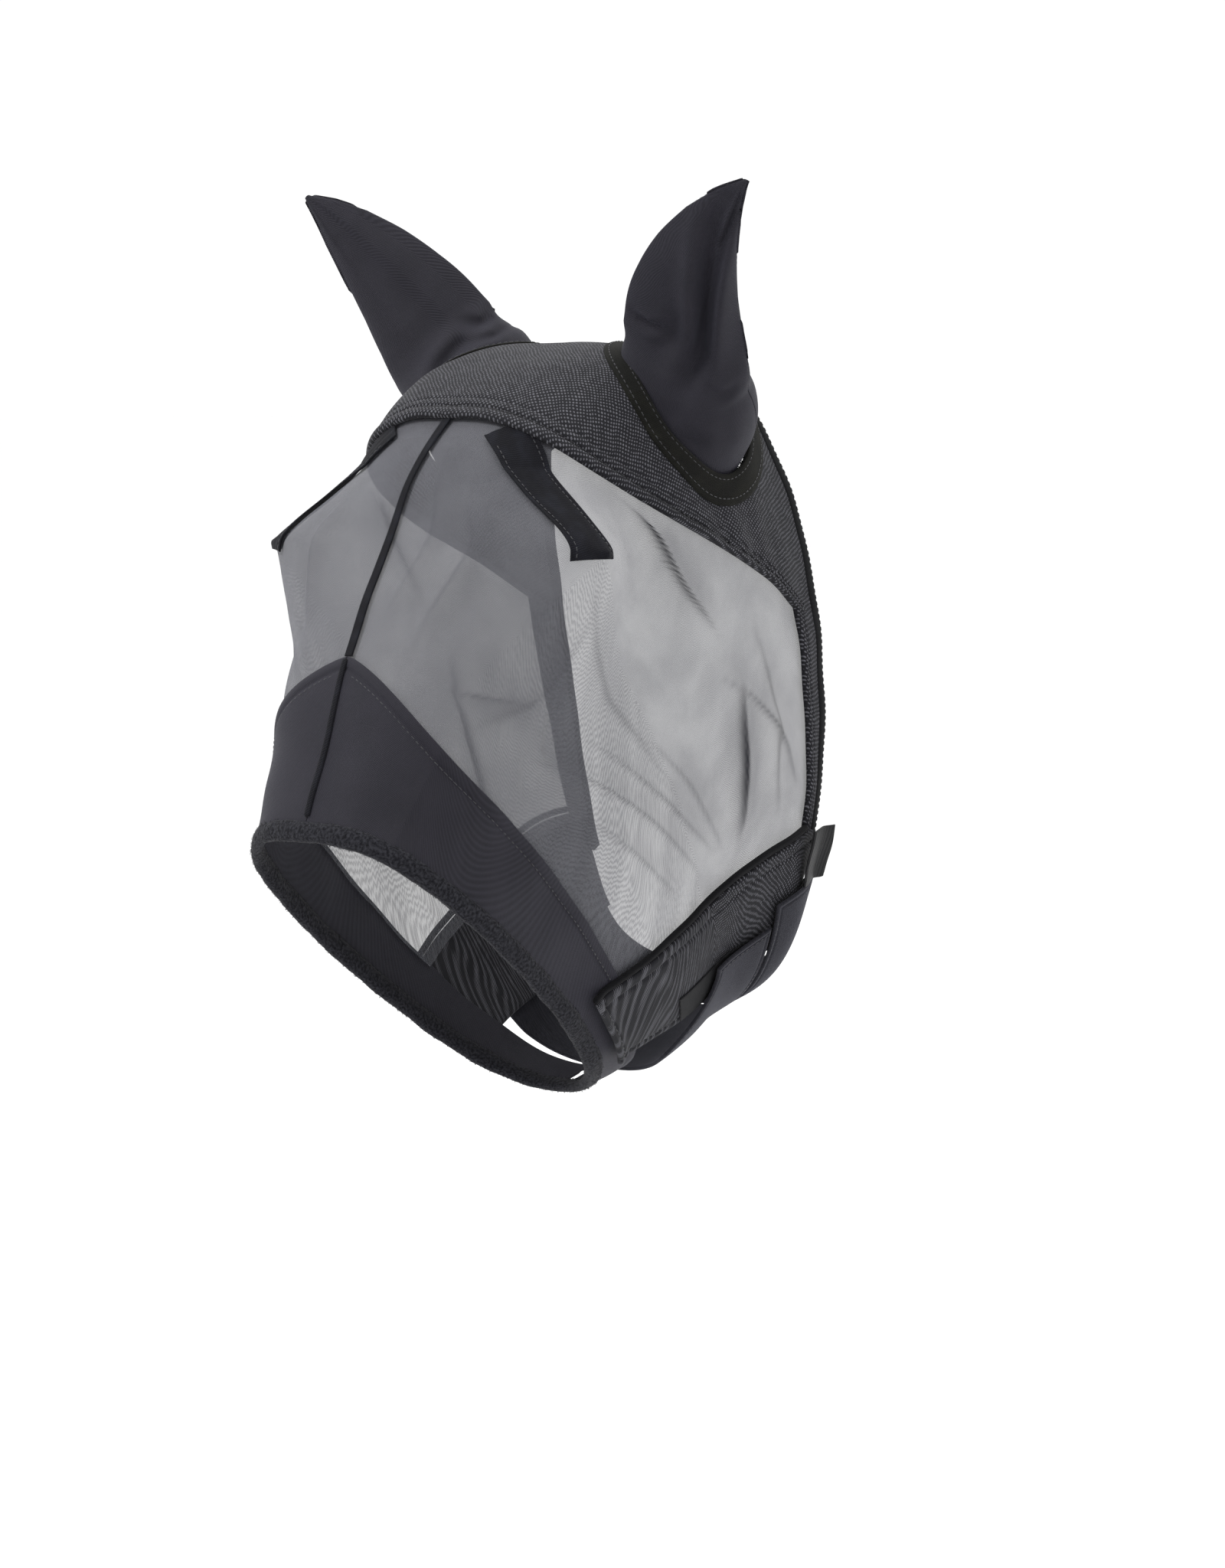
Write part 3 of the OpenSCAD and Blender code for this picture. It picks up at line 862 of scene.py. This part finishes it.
def ruffle(piece, amount, size):
    """Pushes a piece's points in and out along their normals, in soft tufts."""
    waves = random.normal(size=(14, 3)) / (size * MM)
    phase = random.uniform(0, 2 * np.pi, 14)
    count = len(piece.data.vertices)
    points, normals = np.empty(count * 3, np.float32), np.empty(count * 3, np.float32)
    piece.data.vertices.foreach_get("co", points)
    piece.data.vertices.foreach_get("normal", normals)
    points, normals = points.reshape(-1, 3).astype(float), normals.reshape(-1, 3)
    push = np.sin(points @ waves.T + phase).sum(1) / np.sqrt(14)
    points += normals * (push * amount * MM)[:, None]
    piece.data.vertices.foreach_set("co", points.astype(np.float32).ravel())
    piece.data.update()


def pile(name, piece, count, height, slot, body):
    """Short fibres standing on a piece."""
    mesh = piece.data
    polygons = len(mesh.polygons)
    areas = np.empty(polygons, np.float32)
    centres, normals = np.empty(polygons * 3, np.float32), np.empty(polygons * 3, np.float32)
    mesh.polygons.foreach_get("area", areas)
    mesh.polygons.foreach_get("center", centres)
    mesh.polygons.foreach_get("normal", normals)
    chosen = random.choice(polygons, count, p=areas / areas.sum())
    roots = centres.reshape(-1, 3)[chosen] / MM + random.normal(size=(count, 3)) * 0.35
    out = unit(normals.reshape(-1, 3)[chosen] + random.normal(size=(count, 3)) * 0.45)
    side = unit(np.cross(out, random.normal(size=(count, 3))))
    other = np.cross(out, side)
    tall = height * random.uniform(0.5, 1.2, count)[:, None]
    bend = random.normal(size=(count, 3)) * 0.25
    points, faces = [], []
    for k in range(3):
        a = 2 * math.pi * k / 3
        points.append(roots - out * 0.3 + (side * math.cos(a) + other * math.sin(a)) * 0.16)
    for k in range(3):
        a = 2 * math.pi * k / 3
        spread = (side * math.cos(a) + other * math.sin(a)) * 0.09
        points.append(roots + out * tall * 0.6 + bend * 0.5 + spread)
    points.append(roots + out * tall + bend)
    for i in range(count):
        for k in range(3):
            n = (k + 1) % 3
            faces.append((k * count + i, n * count + i, (n + 3) * count + i, (k + 3) * count + i))
            faces.append(((k + 3) * count + i, (n + 3) * count + i, 6 * count + i))
        faces.append((2 * count + i, count + i, i))
    points = np.concatenate(points)
    fibres = add_piece(name, points, faces, points[:, :2], slot)
    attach(fibres, body)


# ---------------------------------------------------------------- crown

EAR_AT = np.array((-15.0, 74.0, -34.0))
EAR_HOLE = 45.5


def in_ear_hole(points):
    """True where a point lies in either ear opening."""
    far = [np.linalg.norm(points - EAR_AT * (1, sign, 1), axis=-1) for _, sign in SIDES]
    return np.minimum(*far) < EAR_HOLE


def crown_band():
    def place(u, v):
        w = 2 * v - 1
        t = BAND_END_T * np.sign(w) * np.abs(w) ** 1.8
        return mix(0, np.maximum(0.12, brow_edge(t)), u), t

    def relief(edges, s, t):
        ear_folds = 0.8 * np.sin(16 * s) * bell(np.abs(t) - 0.42, 0.05) * bell(s - 1.5, 0.7)
        return hem(edges.u1) + groove(edges.u1, 14.5, 1.0, 0.9) + ear_folds

    piece = panel("crown_band_padding", place, (150, 420), 0.1, BAND_TOP, "spacer_mesh", "crown_band",
                  relief, drop=in_ear_hole)
    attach(piece, "hood")
    t = np.linspace(-1, 1, 700)
    t = 0.475 * np.sign(t) * np.abs(t) ** 1.6
    scale = lookup(CHART_U, brow_edge(t), t) - lookup(CHART_U, brow_edge(t) - 0.1, t)
    s = brow_edge(t) - 0.8 / np.maximum(scale, 1)
    s = np.where(s < 0.15, 0.15, s)
    stitching("crown_band_stitching", [sewn_line(s, t, BAND_TOP - 1.0)], "hood")


def brow_lining():
    def place(u, v):
        return mix(2.15, 2.75, u), 0.10 * np.sign(2 * v - 1) * np.abs(2 * v - 1) ** 1.6

    piece = panel("brow_lining_cloth", place, (40, 60), -4.3, -2.3, "stretch_fabric", "brow_lining")
    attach(piece, "hood")
    declare_sheet(piece)


def cheek_band(side, sign):
    def place(u, v):
        return mix(0, 0.42, u), sign * mix(BAND_END_T - 0.01, JAW_T + JAW_TUCK_T, v)

    piece = panel(f"{side}_cheek_band_padding", place, (30, 110), 0.1, BAND_TOP, "spacer_mesh",
                  f"{side}_cheek_band", lambda edges, s, t: hem(edges.u1, 4, 0.5, 0.9))
    if sign < 0:
        piece.data.flip_normals()
    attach(piece, "hood")
    t = np.linspace(BAND_END_T + 0.01, JAW_T, 80)
    line = sewn_line(np.full_like(t, 0.335), sign * t, BAND_TOP - 0.6)
    stitching(f"{side}_cheek_band_stitching", [line], "hood")


REAR_END_T = 0.76     # where the rear binding ends, at the jaw band


def poll_binding():
    t = np.linspace(-1, 1, 420)
    t = REAR_END_T * np.sign(t) * np.abs(t) ** 1.7
    s = np.full_like(t, -0.03)
    centre, across, up = frame_along(s, t, 2.0)
    piece = rolled("poll_binding_roll", centre, across, up, 4.2, 3.1, "edge_binding", "poll_binding",
                   sides=20, square=0.75)
    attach(piece, "hood")
    stitching("poll_binding_stitching", [(centre - across * 2.6 + up * 2.85, up)], "hood")


# ---------------------------------------------------------------- ears

EAR_R = 42.0
EAR_LEN = 165.0
EAR_LOW = -28.0
EAR_NECK = 27.0
EAR_LEAN = 36
EAR_PITCH = 21
RING_LEAN = 34
NECK_SHARE = 0.2      # share of an ear cover's rows in its round base
# Width inward, outward, and half depth, at heights as fractions of the length, as in the frame
EAR_SECTIONS = np.array([
    (EAR_NECK / EAR_LEN, 1, 1, 1),
    (0.22, 1.08, 1.00, 0.82),
    (0.29, 1.32, 0.92, 0.66),
    (0.40, 1.38, 0.74, 0.58),
    (0.53, 1.30, 0.53, 0.47),
    (0.68, 1.10, 0.34, 0.35),
    (0.82, 0.78, 0.19, 0.23),
    (0.92, 0.43, 0.09, 0.13),
    (1, 0.05, 0.05, 0.05)])
EARS = {
    # turn in degrees and sideways bend; folds of the front as (height, place across from the outer
    # edge, -1, to the inner edge, 1), depth, width
    "near": (35, -4.5, [
        ([(0.92, 0.45), (0.72, 0.15), (0.50, -0.06), (0.32, -0.12), (0.14, 0.05)], 9.0, 6.0),
        ([(0.78, -0.45), (0.50, -0.50), (0.25, -0.50)], -3.5, 8.0),
        ([(0.34, 0.85), (0.335, 0.62), (0.35, 0.42)], 3.5, 3.0),
        ([(0.225, -0.90), (0.205, -0.65), (0.22, -0.35)], 3.2, 2.8),
        ([(0.45, 0.25), (0.34, 0.30), (0.24, 0.50)], 2.5, 6.0)]),
    "far": (-30, 4.5, [
        ([(0.150, -0.45), (0.20, -0.10), (0.225, 0.30), (0.22, 0.50)], 6.0, 5.0),
        ([(0.29, 0.55), (0.24, 0.75), (0.25, 0.95)], 4.5, 3.5),
        ([(0.20, 0.55), (0.17, 0.75), (0.19, 0.95)], 3.5, 3.0),
        ([(0.085, -0.80), (0.12, -0.20), (0.17, 0.30), (0.155, 0.80)], -4.0, 3.2),
        ([(0.85, 0.10), (0.60, 0.05), (0.40, 0.15)], 2.0, 12.0)]),
}


def turn(axis, degrees):
    a = math.radians(degrees)
    c, s = math.cos(a), math.sin(a)
    rows = {"x": ((1, 0, 0), (0, c, -s), (0, s, c)), "y": ((c, 0, s), (0, 1, 0), (-s, 0, c)),
            "z": ((c, -s, 0), (s, c, 0), (0, 0, 1))}
    return np.array(rows[axis])


def ear_frame(side):
    """Rotation of an ear cover from its own frame."""
    return turn("x", -EAR_LEAN) @ turn("y", EAR_PITCH) @ turn("z", EARS[side][0])


EAR_FOLD_STEPS = 24
LOBE_OUT = 10         # how far the inner side stands out over the binding
LOBE_Z = 27
LOBE_REACH = 15


def leaf_share(z):
    """Share of the way from an ear cover's neck to its tip."""
    return (z - EAR_NECK) / (EAR_LEN - EAR_NECK)


def ear_shape(height, angle, bend, folds, front):
    """Points of half an ear cover in its own frame. height is from the base rim to the tip, 0 to 1;
    angle is round it from the outer edge, 0, to the inner edge, pi."""
    z = np.where(height < NECK_SHARE, mix(EAR_LOW, EAR_NECK, height / NECK_SHARE),
                 mix(EAR_NECK, EAR_LEN, (height - NECK_SHARE) / (1 - NECK_SHARE)))
    share = z / EAR_LEN
    base = np.sqrt(EAR_R ** 2 - np.clip(z, 0, EAR_NECK) ** 2)
    row = np.interp(share, EAR_SECTIONS[:, 0], np.arange(len(EAR_SECTIONS)))
    widths = spline(EAR_SECTIONS[:, 1:], row)
    inward, outward, deep = (np.where(z < EAR_NECK, 1, widths[..., k]) for k in range(3))
    cosine, sine = np.cos(angle), np.sin(angle)
    leaf = smooth((z - EAR_NECK) / 30)
    pinch = mix(1.0, 1.5, leaf)
    y = base * np.where(cosine > 0, outward, inward) * cosine
    hollow = mix(1.0, 0.55, leaf) if front else mix(1.0, 0.9, leaf)
    x = base * deep * hollow * np.maximum(sine, 0) ** pinch
    gathers = 0.6 * np.sin(13 * angle + 1) * bell(z - 12, 12) * sine
    x = x + gathers
    half = np.where(cosine > 0, outward, inward) * base
    for way, depth, width in folds:
        line = spline(way, np.linspace(0, len(way) - 1, EAR_FOLD_STEPS + 1))
        z_line, y_line = line[:, 0] * EAR_LEN, -line[:, 1]
        best = np.full(np.shape(x), 1e9)
        where = np.zeros(np.shape(x))
        for k in range(EAR_FOLD_STEPS):
            dz, dy = z_line[k + 1] - z_line[k], (y_line[k + 1] - y_line[k]) * half
            z_off, y_off = z - z_line[k], y - y_line[k] * half
            f = np.clip((z_off * dz + y_off * dy) / (dz * dz + dy * dy), 0, 1)
            apart = np.hypot(z_off - f * dz, y_off - f * dy)
            closer = apart < best
            best = np.where(closer, apart, best)
            where = np.where(closer, (k + f) / EAR_FOLD_STEPS, where)
        x = x - depth * bell(best, width) * np.sin(np.pi * np.clip(where, 0.04, 0.96)) ** 0.6 * sine ** 0.5 \
            + 0.35 * depth * bell(best - 1.7 * width, width) * sine ** 0.5 * np.sin(np.pi * where)
    y = y + bend * np.sin(np.pi * np.clip(leaf_share(z), 0, 1)) ** 0.7
    y = y - LOBE_OUT * bell(z - LOBE_Z, LOBE_REACH) * np.clip(-cosine, 0, 1)
    return np.stack([x if front else -x, y, z], -1)


def grid_normals(points):
    return unit(np.cross(np.gradient(points, axis=0), np.gradient(points, axis=1)))


def ear_half(side, sign, front):
    matrix = ear_frame(side)
    seat = turn("x", -RING_LEAN) @ turn("z", EARS[side][0])
    _, bend, folds = EARS[side]
    if not front:
        folds = [([(0.8, 0.0), (0.5, 0.05), (0.25, -0.1)], 2.5, 9.0)]
    nu, nv = 150, 90
    height = eased(nu, 0.7)[:, None]
    angle = np.pi * eased(nv, 0.6)[None, :]
    height, angle = np.broadcast_arrays(height, angle)
    local = ear_shape(height, angle, bend, folds, front)
    outward = grid_normals(local)
    if (outward[nu // 2, nv // 2, 0] > 0) != front:
        outward = -outward
    edges = Edges(local)
    near = np.minimum(np.minimum(edges.u0, edges.u1), np.minimum(edges.v0, edges.v1))
    half = STRETCH_T / 2
    full = (half * np.sqrt(1 - (1 - np.clip(near / 1.4, 0, 1)) ** 2))[..., None]
    layers = []
    for way in (1, -1):
        own = local - outward * half + outward * full * way
        seated = smooth((own[..., 2:] + 6) / 26)
        placed = mix(own @ seat.T, own @ matrix.T, seated) + EAR_AT
        layers.append(placed * (1, sign, 1))
    flat = np.stack([edges.u0, edges.v0], -1)
    name = f"{side}_ear_{'front' if front else 'back'}"
    turned = front == (sign > 0)
    faces = grid_faces(nu, nv, 0, not turned) + grid_faces(nu, nv, nu * nv, turned)
    piece = add_piece(f"{name}_cloth", np.stack(layers), faces, np.stack([flat, flat]),
                      "stretch_fabric", name)
    piece["flat_mm"] = [edges.width, edges.length, area_of(local)]
    blend_ear(piece)
    declare_sheet(piece)
    return layers[0]


def blend_ear(piece):
    """Bakes a piece's transform into its mesh. Where ear_half placed a cover, its base already stays with
    the crown and its upper part turns with the ear.
    """
    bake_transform(piece)


def ear_seam(side, sign, outer):
    """Stitches down the back of a cover's edge seam."""
    column = np.linspace(0.2, 0.97, 160)
    angle = np.full_like(column, 0.42 if outer else np.pi - 0.34)
    local = ear_shape(column, angle, EARS[side][1], [], False)
    other = ear_shape(column, angle + (0.02 if outer else -0.02), EARS[side][1], [], False)
    way = unit(np.gradient(local, axis=0))
    out = unit(np.cross(way, other - local))
    out = np.where(out[:, :1] > 0, -out, out)
    matrix = ear_frame(side)
    points = (local + out * 0.05) @ matrix.T + EAR_AT
    return points * (1, sign, 1), (out @ matrix.T) * (1, sign, 1)


def ear_cover(side, sign):
    ear_half(side, sign, True)
    ear_half(side, sign, False)
    seams = [ear_seam(side, sign, outer) for outer in (True, False)]
    blend_ear(stitching(f"{side}_ear_seam_stitching", seams, None))


COLLAR = [(43.2, -5), (43.2, 0.2), (43.9, 1.3), (45.5, 1.75), (49, 1.85), (53, 1.75), (56, 1.5), (56.9, 0.9),
          (56.6, 0.2), (53, 0.1), (48, 0.15), (45, -0.2), (44.4, -1), (44.4, -5)]
COLLAR_STEPS = 180


def on_skin(plane, sign, off):
    """Finds the points of the hood above places in an ear ring's own plane."""
    rotation = turn("x", -RING_LEAN)
    local = ((surface(GRID_S[::4, None], GRID_T[None, ::4], off) * (1, sign, 1)) - EAR_AT) @ rotation
    usable = (local[..., 2] > -45) & (local[..., 2] < 60)
    flat = local[..., :2][usable]
    index = np.argwhere(usable)
    s = np.empty(len(plane))
    t = np.empty(len(plane))
    for k, target in enumerate(plane):
        i, j = index[np.argmin(((flat - target) ** 2).sum(1))]
        s[k], t[k] = GRID_S[::4][i], GRID_T[::4][j]

    def at(a, b):
        return ((surface(a, b, off) * (1, sign, 1)) - EAR_AT) @ rotation

    for _ in range(6):
        here = at(s, t)
        along = (at(s + 0.01, t) - here)[:, :2] / 0.01
        around = (at(s, t + 0.002) - here)[:, :2] / 0.002
        miss = plane - here[:, :2]
        area = along[:, 0] * around[:, 1] - along[:, 1] * around[:, 0]
        area = np.where(np.abs(area) < 1, 1, area)
        s = s + np.clip((miss[:, 0] * around[:, 1] - miss[:, 1] * around[:, 0]) / area, -0.1, 0.1)
        t = t + np.clip((along[:, 0] * miss[:, 1] - along[:, 1] * miss[:, 0]) / area, -0.02, 0.02)
    return at(s, t)[:, 2]


def ear_ring(side, sign):
    """The flat bound edge round an ear opening, lying on the crown band."""
    around = np.linspace(0, 2 * np.pi, COLLAR_STEPS + 1)
    reaches = np.array([44.0, 50.0, 57.0])
    heights = []
    for reach in reaches:
        plane = np.stack([reach * np.cos(around), reach * np.sin(around)], -1)
        height = on_skin(plane, sign, BAND_TOP)
        for _ in range(3):
            height = (np.roll(height[:-1], 1) + 2 * height[:-1] + np.roll(height[:-1], -1)) / 4
            height = np.append(height, height[0])
        heights.append(height)
    heights = np.array(heights)
    profile = np.array(COLLAR)
    points = np.empty((COLLAR_STEPS + 1, len(profile) + 1, 3))
    for k, (reach, rise) in enumerate([*COLLAR, COLLAR[0]]):
        level = [np.interp(reach, reaches, heights[:, m]) for m in range(COLLAR_STEPS + 1)]
        points[:, k] = np.stack([reach * np.cos(around), reach * np.sin(around), np.array(level) + rise], -1)
    placed = (points @ turn("x", -RING_LEAN).T + EAR_AT) * (1, sign, 1)
    flat = np.stack([run(points, 0), run(points, 1)], -1)
    faces = grid_faces(COLLAR_STEPS + 1, len(profile) + 1, 0, sign < 0)
    piece = add_piece(f"{side}_ear_ring_binding", placed, faces, flat, "ear_binding", f"{side}_ear_ring")
    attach(piece, "hood")
    rows = []
    for reach in (46.5, 54.5):
        level = np.array([np.interp(reach, reaches, heights[:, m]) for m in range(COLLAR_STEPS + 1)])
        line = np.stack([reach * np.cos(around), reach * np.sin(around), level + 1.7], -1)
        up = np.broadcast_to(turn("x", -RING_LEAN) @ (0, 0, 1) * (1, sign, 1), line.shape)
        rows.append(((line @ turn("x", -RING_LEAN).T + EAR_AT) * (1, sign, 1), up))
    stitching(f"{side}_ear_ring_stitching", rows, "hood")


# ---------------------------------------------------------------- jaw

def jaw_lift(s, t):
    """The front end of a jaw band stands a little off the nose panel."""
    return 3.5 * smooth((s - 5.85) / 0.4)


def jaw_band(side, sign):
    def place(u, v):
        return mix(0, JAW_FRONT_S, u), sign * mix(JAW_T + 0.008, JAW_LOW_T, v)

    def relief(edges, s, t):
        return (groove(edges.v0, 7.5, 1.0, 1.5) + hem(edges.u1, 5, 0.4, 1.0)
                + groove(edges.v1, 5.5, 1.0, 1.0))

    piece = panel(f"{side}_jaw_band_padding", place, (240, 60), 1.6, JAW_TOP, "spacer_mesh",
                  f"{side}_jaw_band", relief, jaw_lift)
    if sign < 0:
        piece.data.flip_normals()
    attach(piece, "hood")
    s = np.linspace(0.1, JAW_FRONT_S - 0.1, 400)
    rows = [sewn_line(s, np.full_like(s, sign * (JAW_T + 0.008 + 0.0165)), JAW_TOP - 1.1 + jaw_lift(s, 0)),
            sewn_line(s, np.full_like(s, sign * (JAW_LOW_T - 0.0125)), JAW_TOP - 0.7 + jaw_lift(s, 0))]
    t = sign * np.linspace(JAW_T + 0.03, JAW_LOW_T - 0.02, 60)
    rows.append(sewn_line(np.full_like(t, JAW_FRONT_S - 0.135), t, JAW_TOP - 0.7 + 3.5))
    stitching(f"{side}_jaw_band_stitching", rows, "hood")


def jaw_piping(side, sign):
    s = np.linspace(0.40, JAW_FRONT_S, 300)
    centre, across, up = frame_along(s, np.full_like(s, sign * (JAW_T + 0.003)), 3.2 + jaw_lift(s, 0))
    piece = rolled(f"{side}_jaw_piping_roll", centre, across * sign, up, 1.9, 1.9, "edge_binding",
                   f"{side}_jaw_piping")
    if sign < 0:
        piece.data.flip_normals()
    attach(piece, "hood")


# ---------------------------------------------------------------- closures

ROOT_T = -0.815


def closure_lift(s, t):
    """A closure comes down onto the far jaw band where it is sewn on."""
    return -3.2 * smooth((t + 0.875) / 0.045)


def closure(name, place, size, root_s):
    def hem_groove(edges, s, t):
        return groove(np.minimum(np.minimum(edges.u0, edges.u1), edges.v0), 3.0, 0.8, 0.5)

    piece = panel(f"{name}_cloth", place, size, STRAP_LOW, STRAP_TOP, "closure_fabric", name,
                  hem_groove, closure_lift)
    start = surface(root_s, -0.85, 8.0) * MM
    end = surface(root_s, -0.93, 10.0) * MM
    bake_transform(piece)
    declare_sheet(piece)
    return start, end


def border_rows(place, edge=0.035):
    """Stitch lines just inside three edges of a closure."""
    u = np.linspace(edge, 1 - edge, 120)
    v = np.linspace(edge, 0.97, 200)
    rows = []
    for a, b in ((u, np.full_like(u, edge / 2)), (np.full_like(v, edge), v), (np.full_like(v, 1 - edge), v)):
        s, t = place(a, b)
        s, t = np.broadcast_arrays(s, t)
        rows.append(sewn_line(s, t, STRAP_TOP - 0.35 + closure_lift(s, t)))
    return rows


def chin_flap():
    def place(u, v):
        t = mix(-1.215, ROOT_T, v)
        front = mix(3.5, 5.0, smooth((t + 1.215) / 0.12))
        return mix(1.80, front, u), t

    start, end = closure("chin_flap", place, (110, 150), 3.4)
    sewing = stitching("chin_flap_stitching", border_rows(place), None)
    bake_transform(sewing)


def throat_strap():
    def place(u, v):
        t = mix(-1.24, ROOT_T, v)
        return mix(0.1, 1.7, u) + 0 * t, t

    start, end = closure("throat_strap", place, (70, 150), 0.9)
    sewing = stitching("throat_strap_stitching", border_rows(place, 0.05), None)
    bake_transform(sewing)


def pull_tab():
    def place(u, v):
        t = mix(-1.30, -1.236, v)
        narrow = 0.12 * smooth((-1.265 - t) / 0.035)
        return mix(-0.25 + narrow, 0.9 - narrow, u), t

    def lift(s, t):
        return 5.0 * smooth((0.25 - s) / 0.5) + 2.0 * smooth((-1.25 - t) / 0.05)

    piece = panel("throat_strap_tab_moulding", place, (60, 40), STRAP_LOW + 0.2, STRAP_TOP - 0.2, "pull_tab",
                  "throat_strap_tab", None, lift)
    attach(piece, "throat_strap")


def fastening_tape(name, s_range, t_range, low, body):
    def place(u, v):
        return mix(*s_range, u), mix(*t_range, v)

    piece = panel(f"{name}_cloth", place, (70, 20), low, low + TAPE_T, "hook_and_loop", name)
    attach(piece, body)
    declare_sheet(piece)


# ---------------------------------------------------------------- assembly

seam = centre_seam()
for side, sign in SIDES:
    face_mesh(side, sign)
    dart_tape(side, sign)
    nose_panel(side, sign)
    cheek_band(side, sign)
    jaw_band(side, sign)
    jaw_piping(side, sign)
    ear_ring(side, sign)
    ear_cover(side, sign)
nose_seam()
muzzle_binding()
crown_band()
brow_lining()
poll_binding()
chin_flap()
throat_strap()
pull_tab()
fastening_tape("front_loop_tape", (2.3, 4.6), (0.79, 0.832), JAW_TOP + 0.1, "hood")
fastening_tape("rear_loop_tape", (0.2, 1.6), (0.765, 0.832), JAW_TOP + 0.1, "hood")
fastening_tape("chin_flap_hook_tape", (2.3, 3.4), (-1.208, -1.17), LOOP_TOP + 0.5, "chin_flap")
fastening_tape("throat_strap_hook_tape", (0.2, 1.6), (-1.232, -1.17), LOOP_TOP + 0.5, "throat_strap")


# ---------------------------------------------------------------- studio

FLOOR_DROP = 0.20
FLOOR_REACH = 60
FLOOR_WHITE = 0.97
WORLD_STRENGTH = 1.04


def make_floor():
    low = cad_box[0].z - FLOOR_DROP
    mesh = bpy.data.meshes.new("floor")
    mesh.from_pydata([(-FLOOR_REACH, -FLOOR_REACH, low), (FLOOR_REACH, -FLOOR_REACH, low),
                      (FLOOR_REACH, FLOOR_REACH, low), (-FLOOR_REACH, FLOOR_REACH, low)], [], [(0, 1, 2, 3)])
    material = bpy.data.materials.new("floor")
    material.use_nodes = True
    shader = material.node_tree.nodes["Principled BSDF"]
    shader.inputs["Base Color"].default_value = (FLOOR_WHITE, FLOOR_WHITE, FLOOR_WHITE, 1)
    shader.inputs["Roughness"].default_value = 0.9
    mesh.materials.append(material)
    floor = bpy.data.objects.new("floor", mesh)
    bpy.context.scene.collection.objects.link(floor)


def make_light(name, place, size, power):
    data = bpy.data.lights.new(name, "AREA")
    data.shape = "DISK"
    data.size = size
    data.energy = power
    light = bpy.data.objects.new(name, data)
    light.location = place
    middle = (cad_box[0] + cad_box[1]) / 2
    light.rotation_mode = "QUATERNION"
    light.rotation_quaternion = (Vector(place) - middle).to_track_quat("Z", "Y")
    bpy.context.scene.collection.objects.link(light)


def make_world():
    world = bpy.data.worlds.new("studio")
    world.use_nodes = True
    background = world.node_tree.nodes["Background"]
    background.inputs["Color"].default_value = (1, 1, 1, 1)
    background.inputs["Strength"].default_value = WORLD_STRENGTH
    bpy.context.scene.world = world
    bpy.context.scene.view_settings.view_transform = "Standard"


make_floor()
make_light("key", (1.2, -0.6, 1.4), 0.7, 30)
make_light("fill", (0.4, 2.2, 0.3), 1.2, 6)
make_light("top", (-0.3, 0.2, 1.8), 1.0, 14)
make_world()
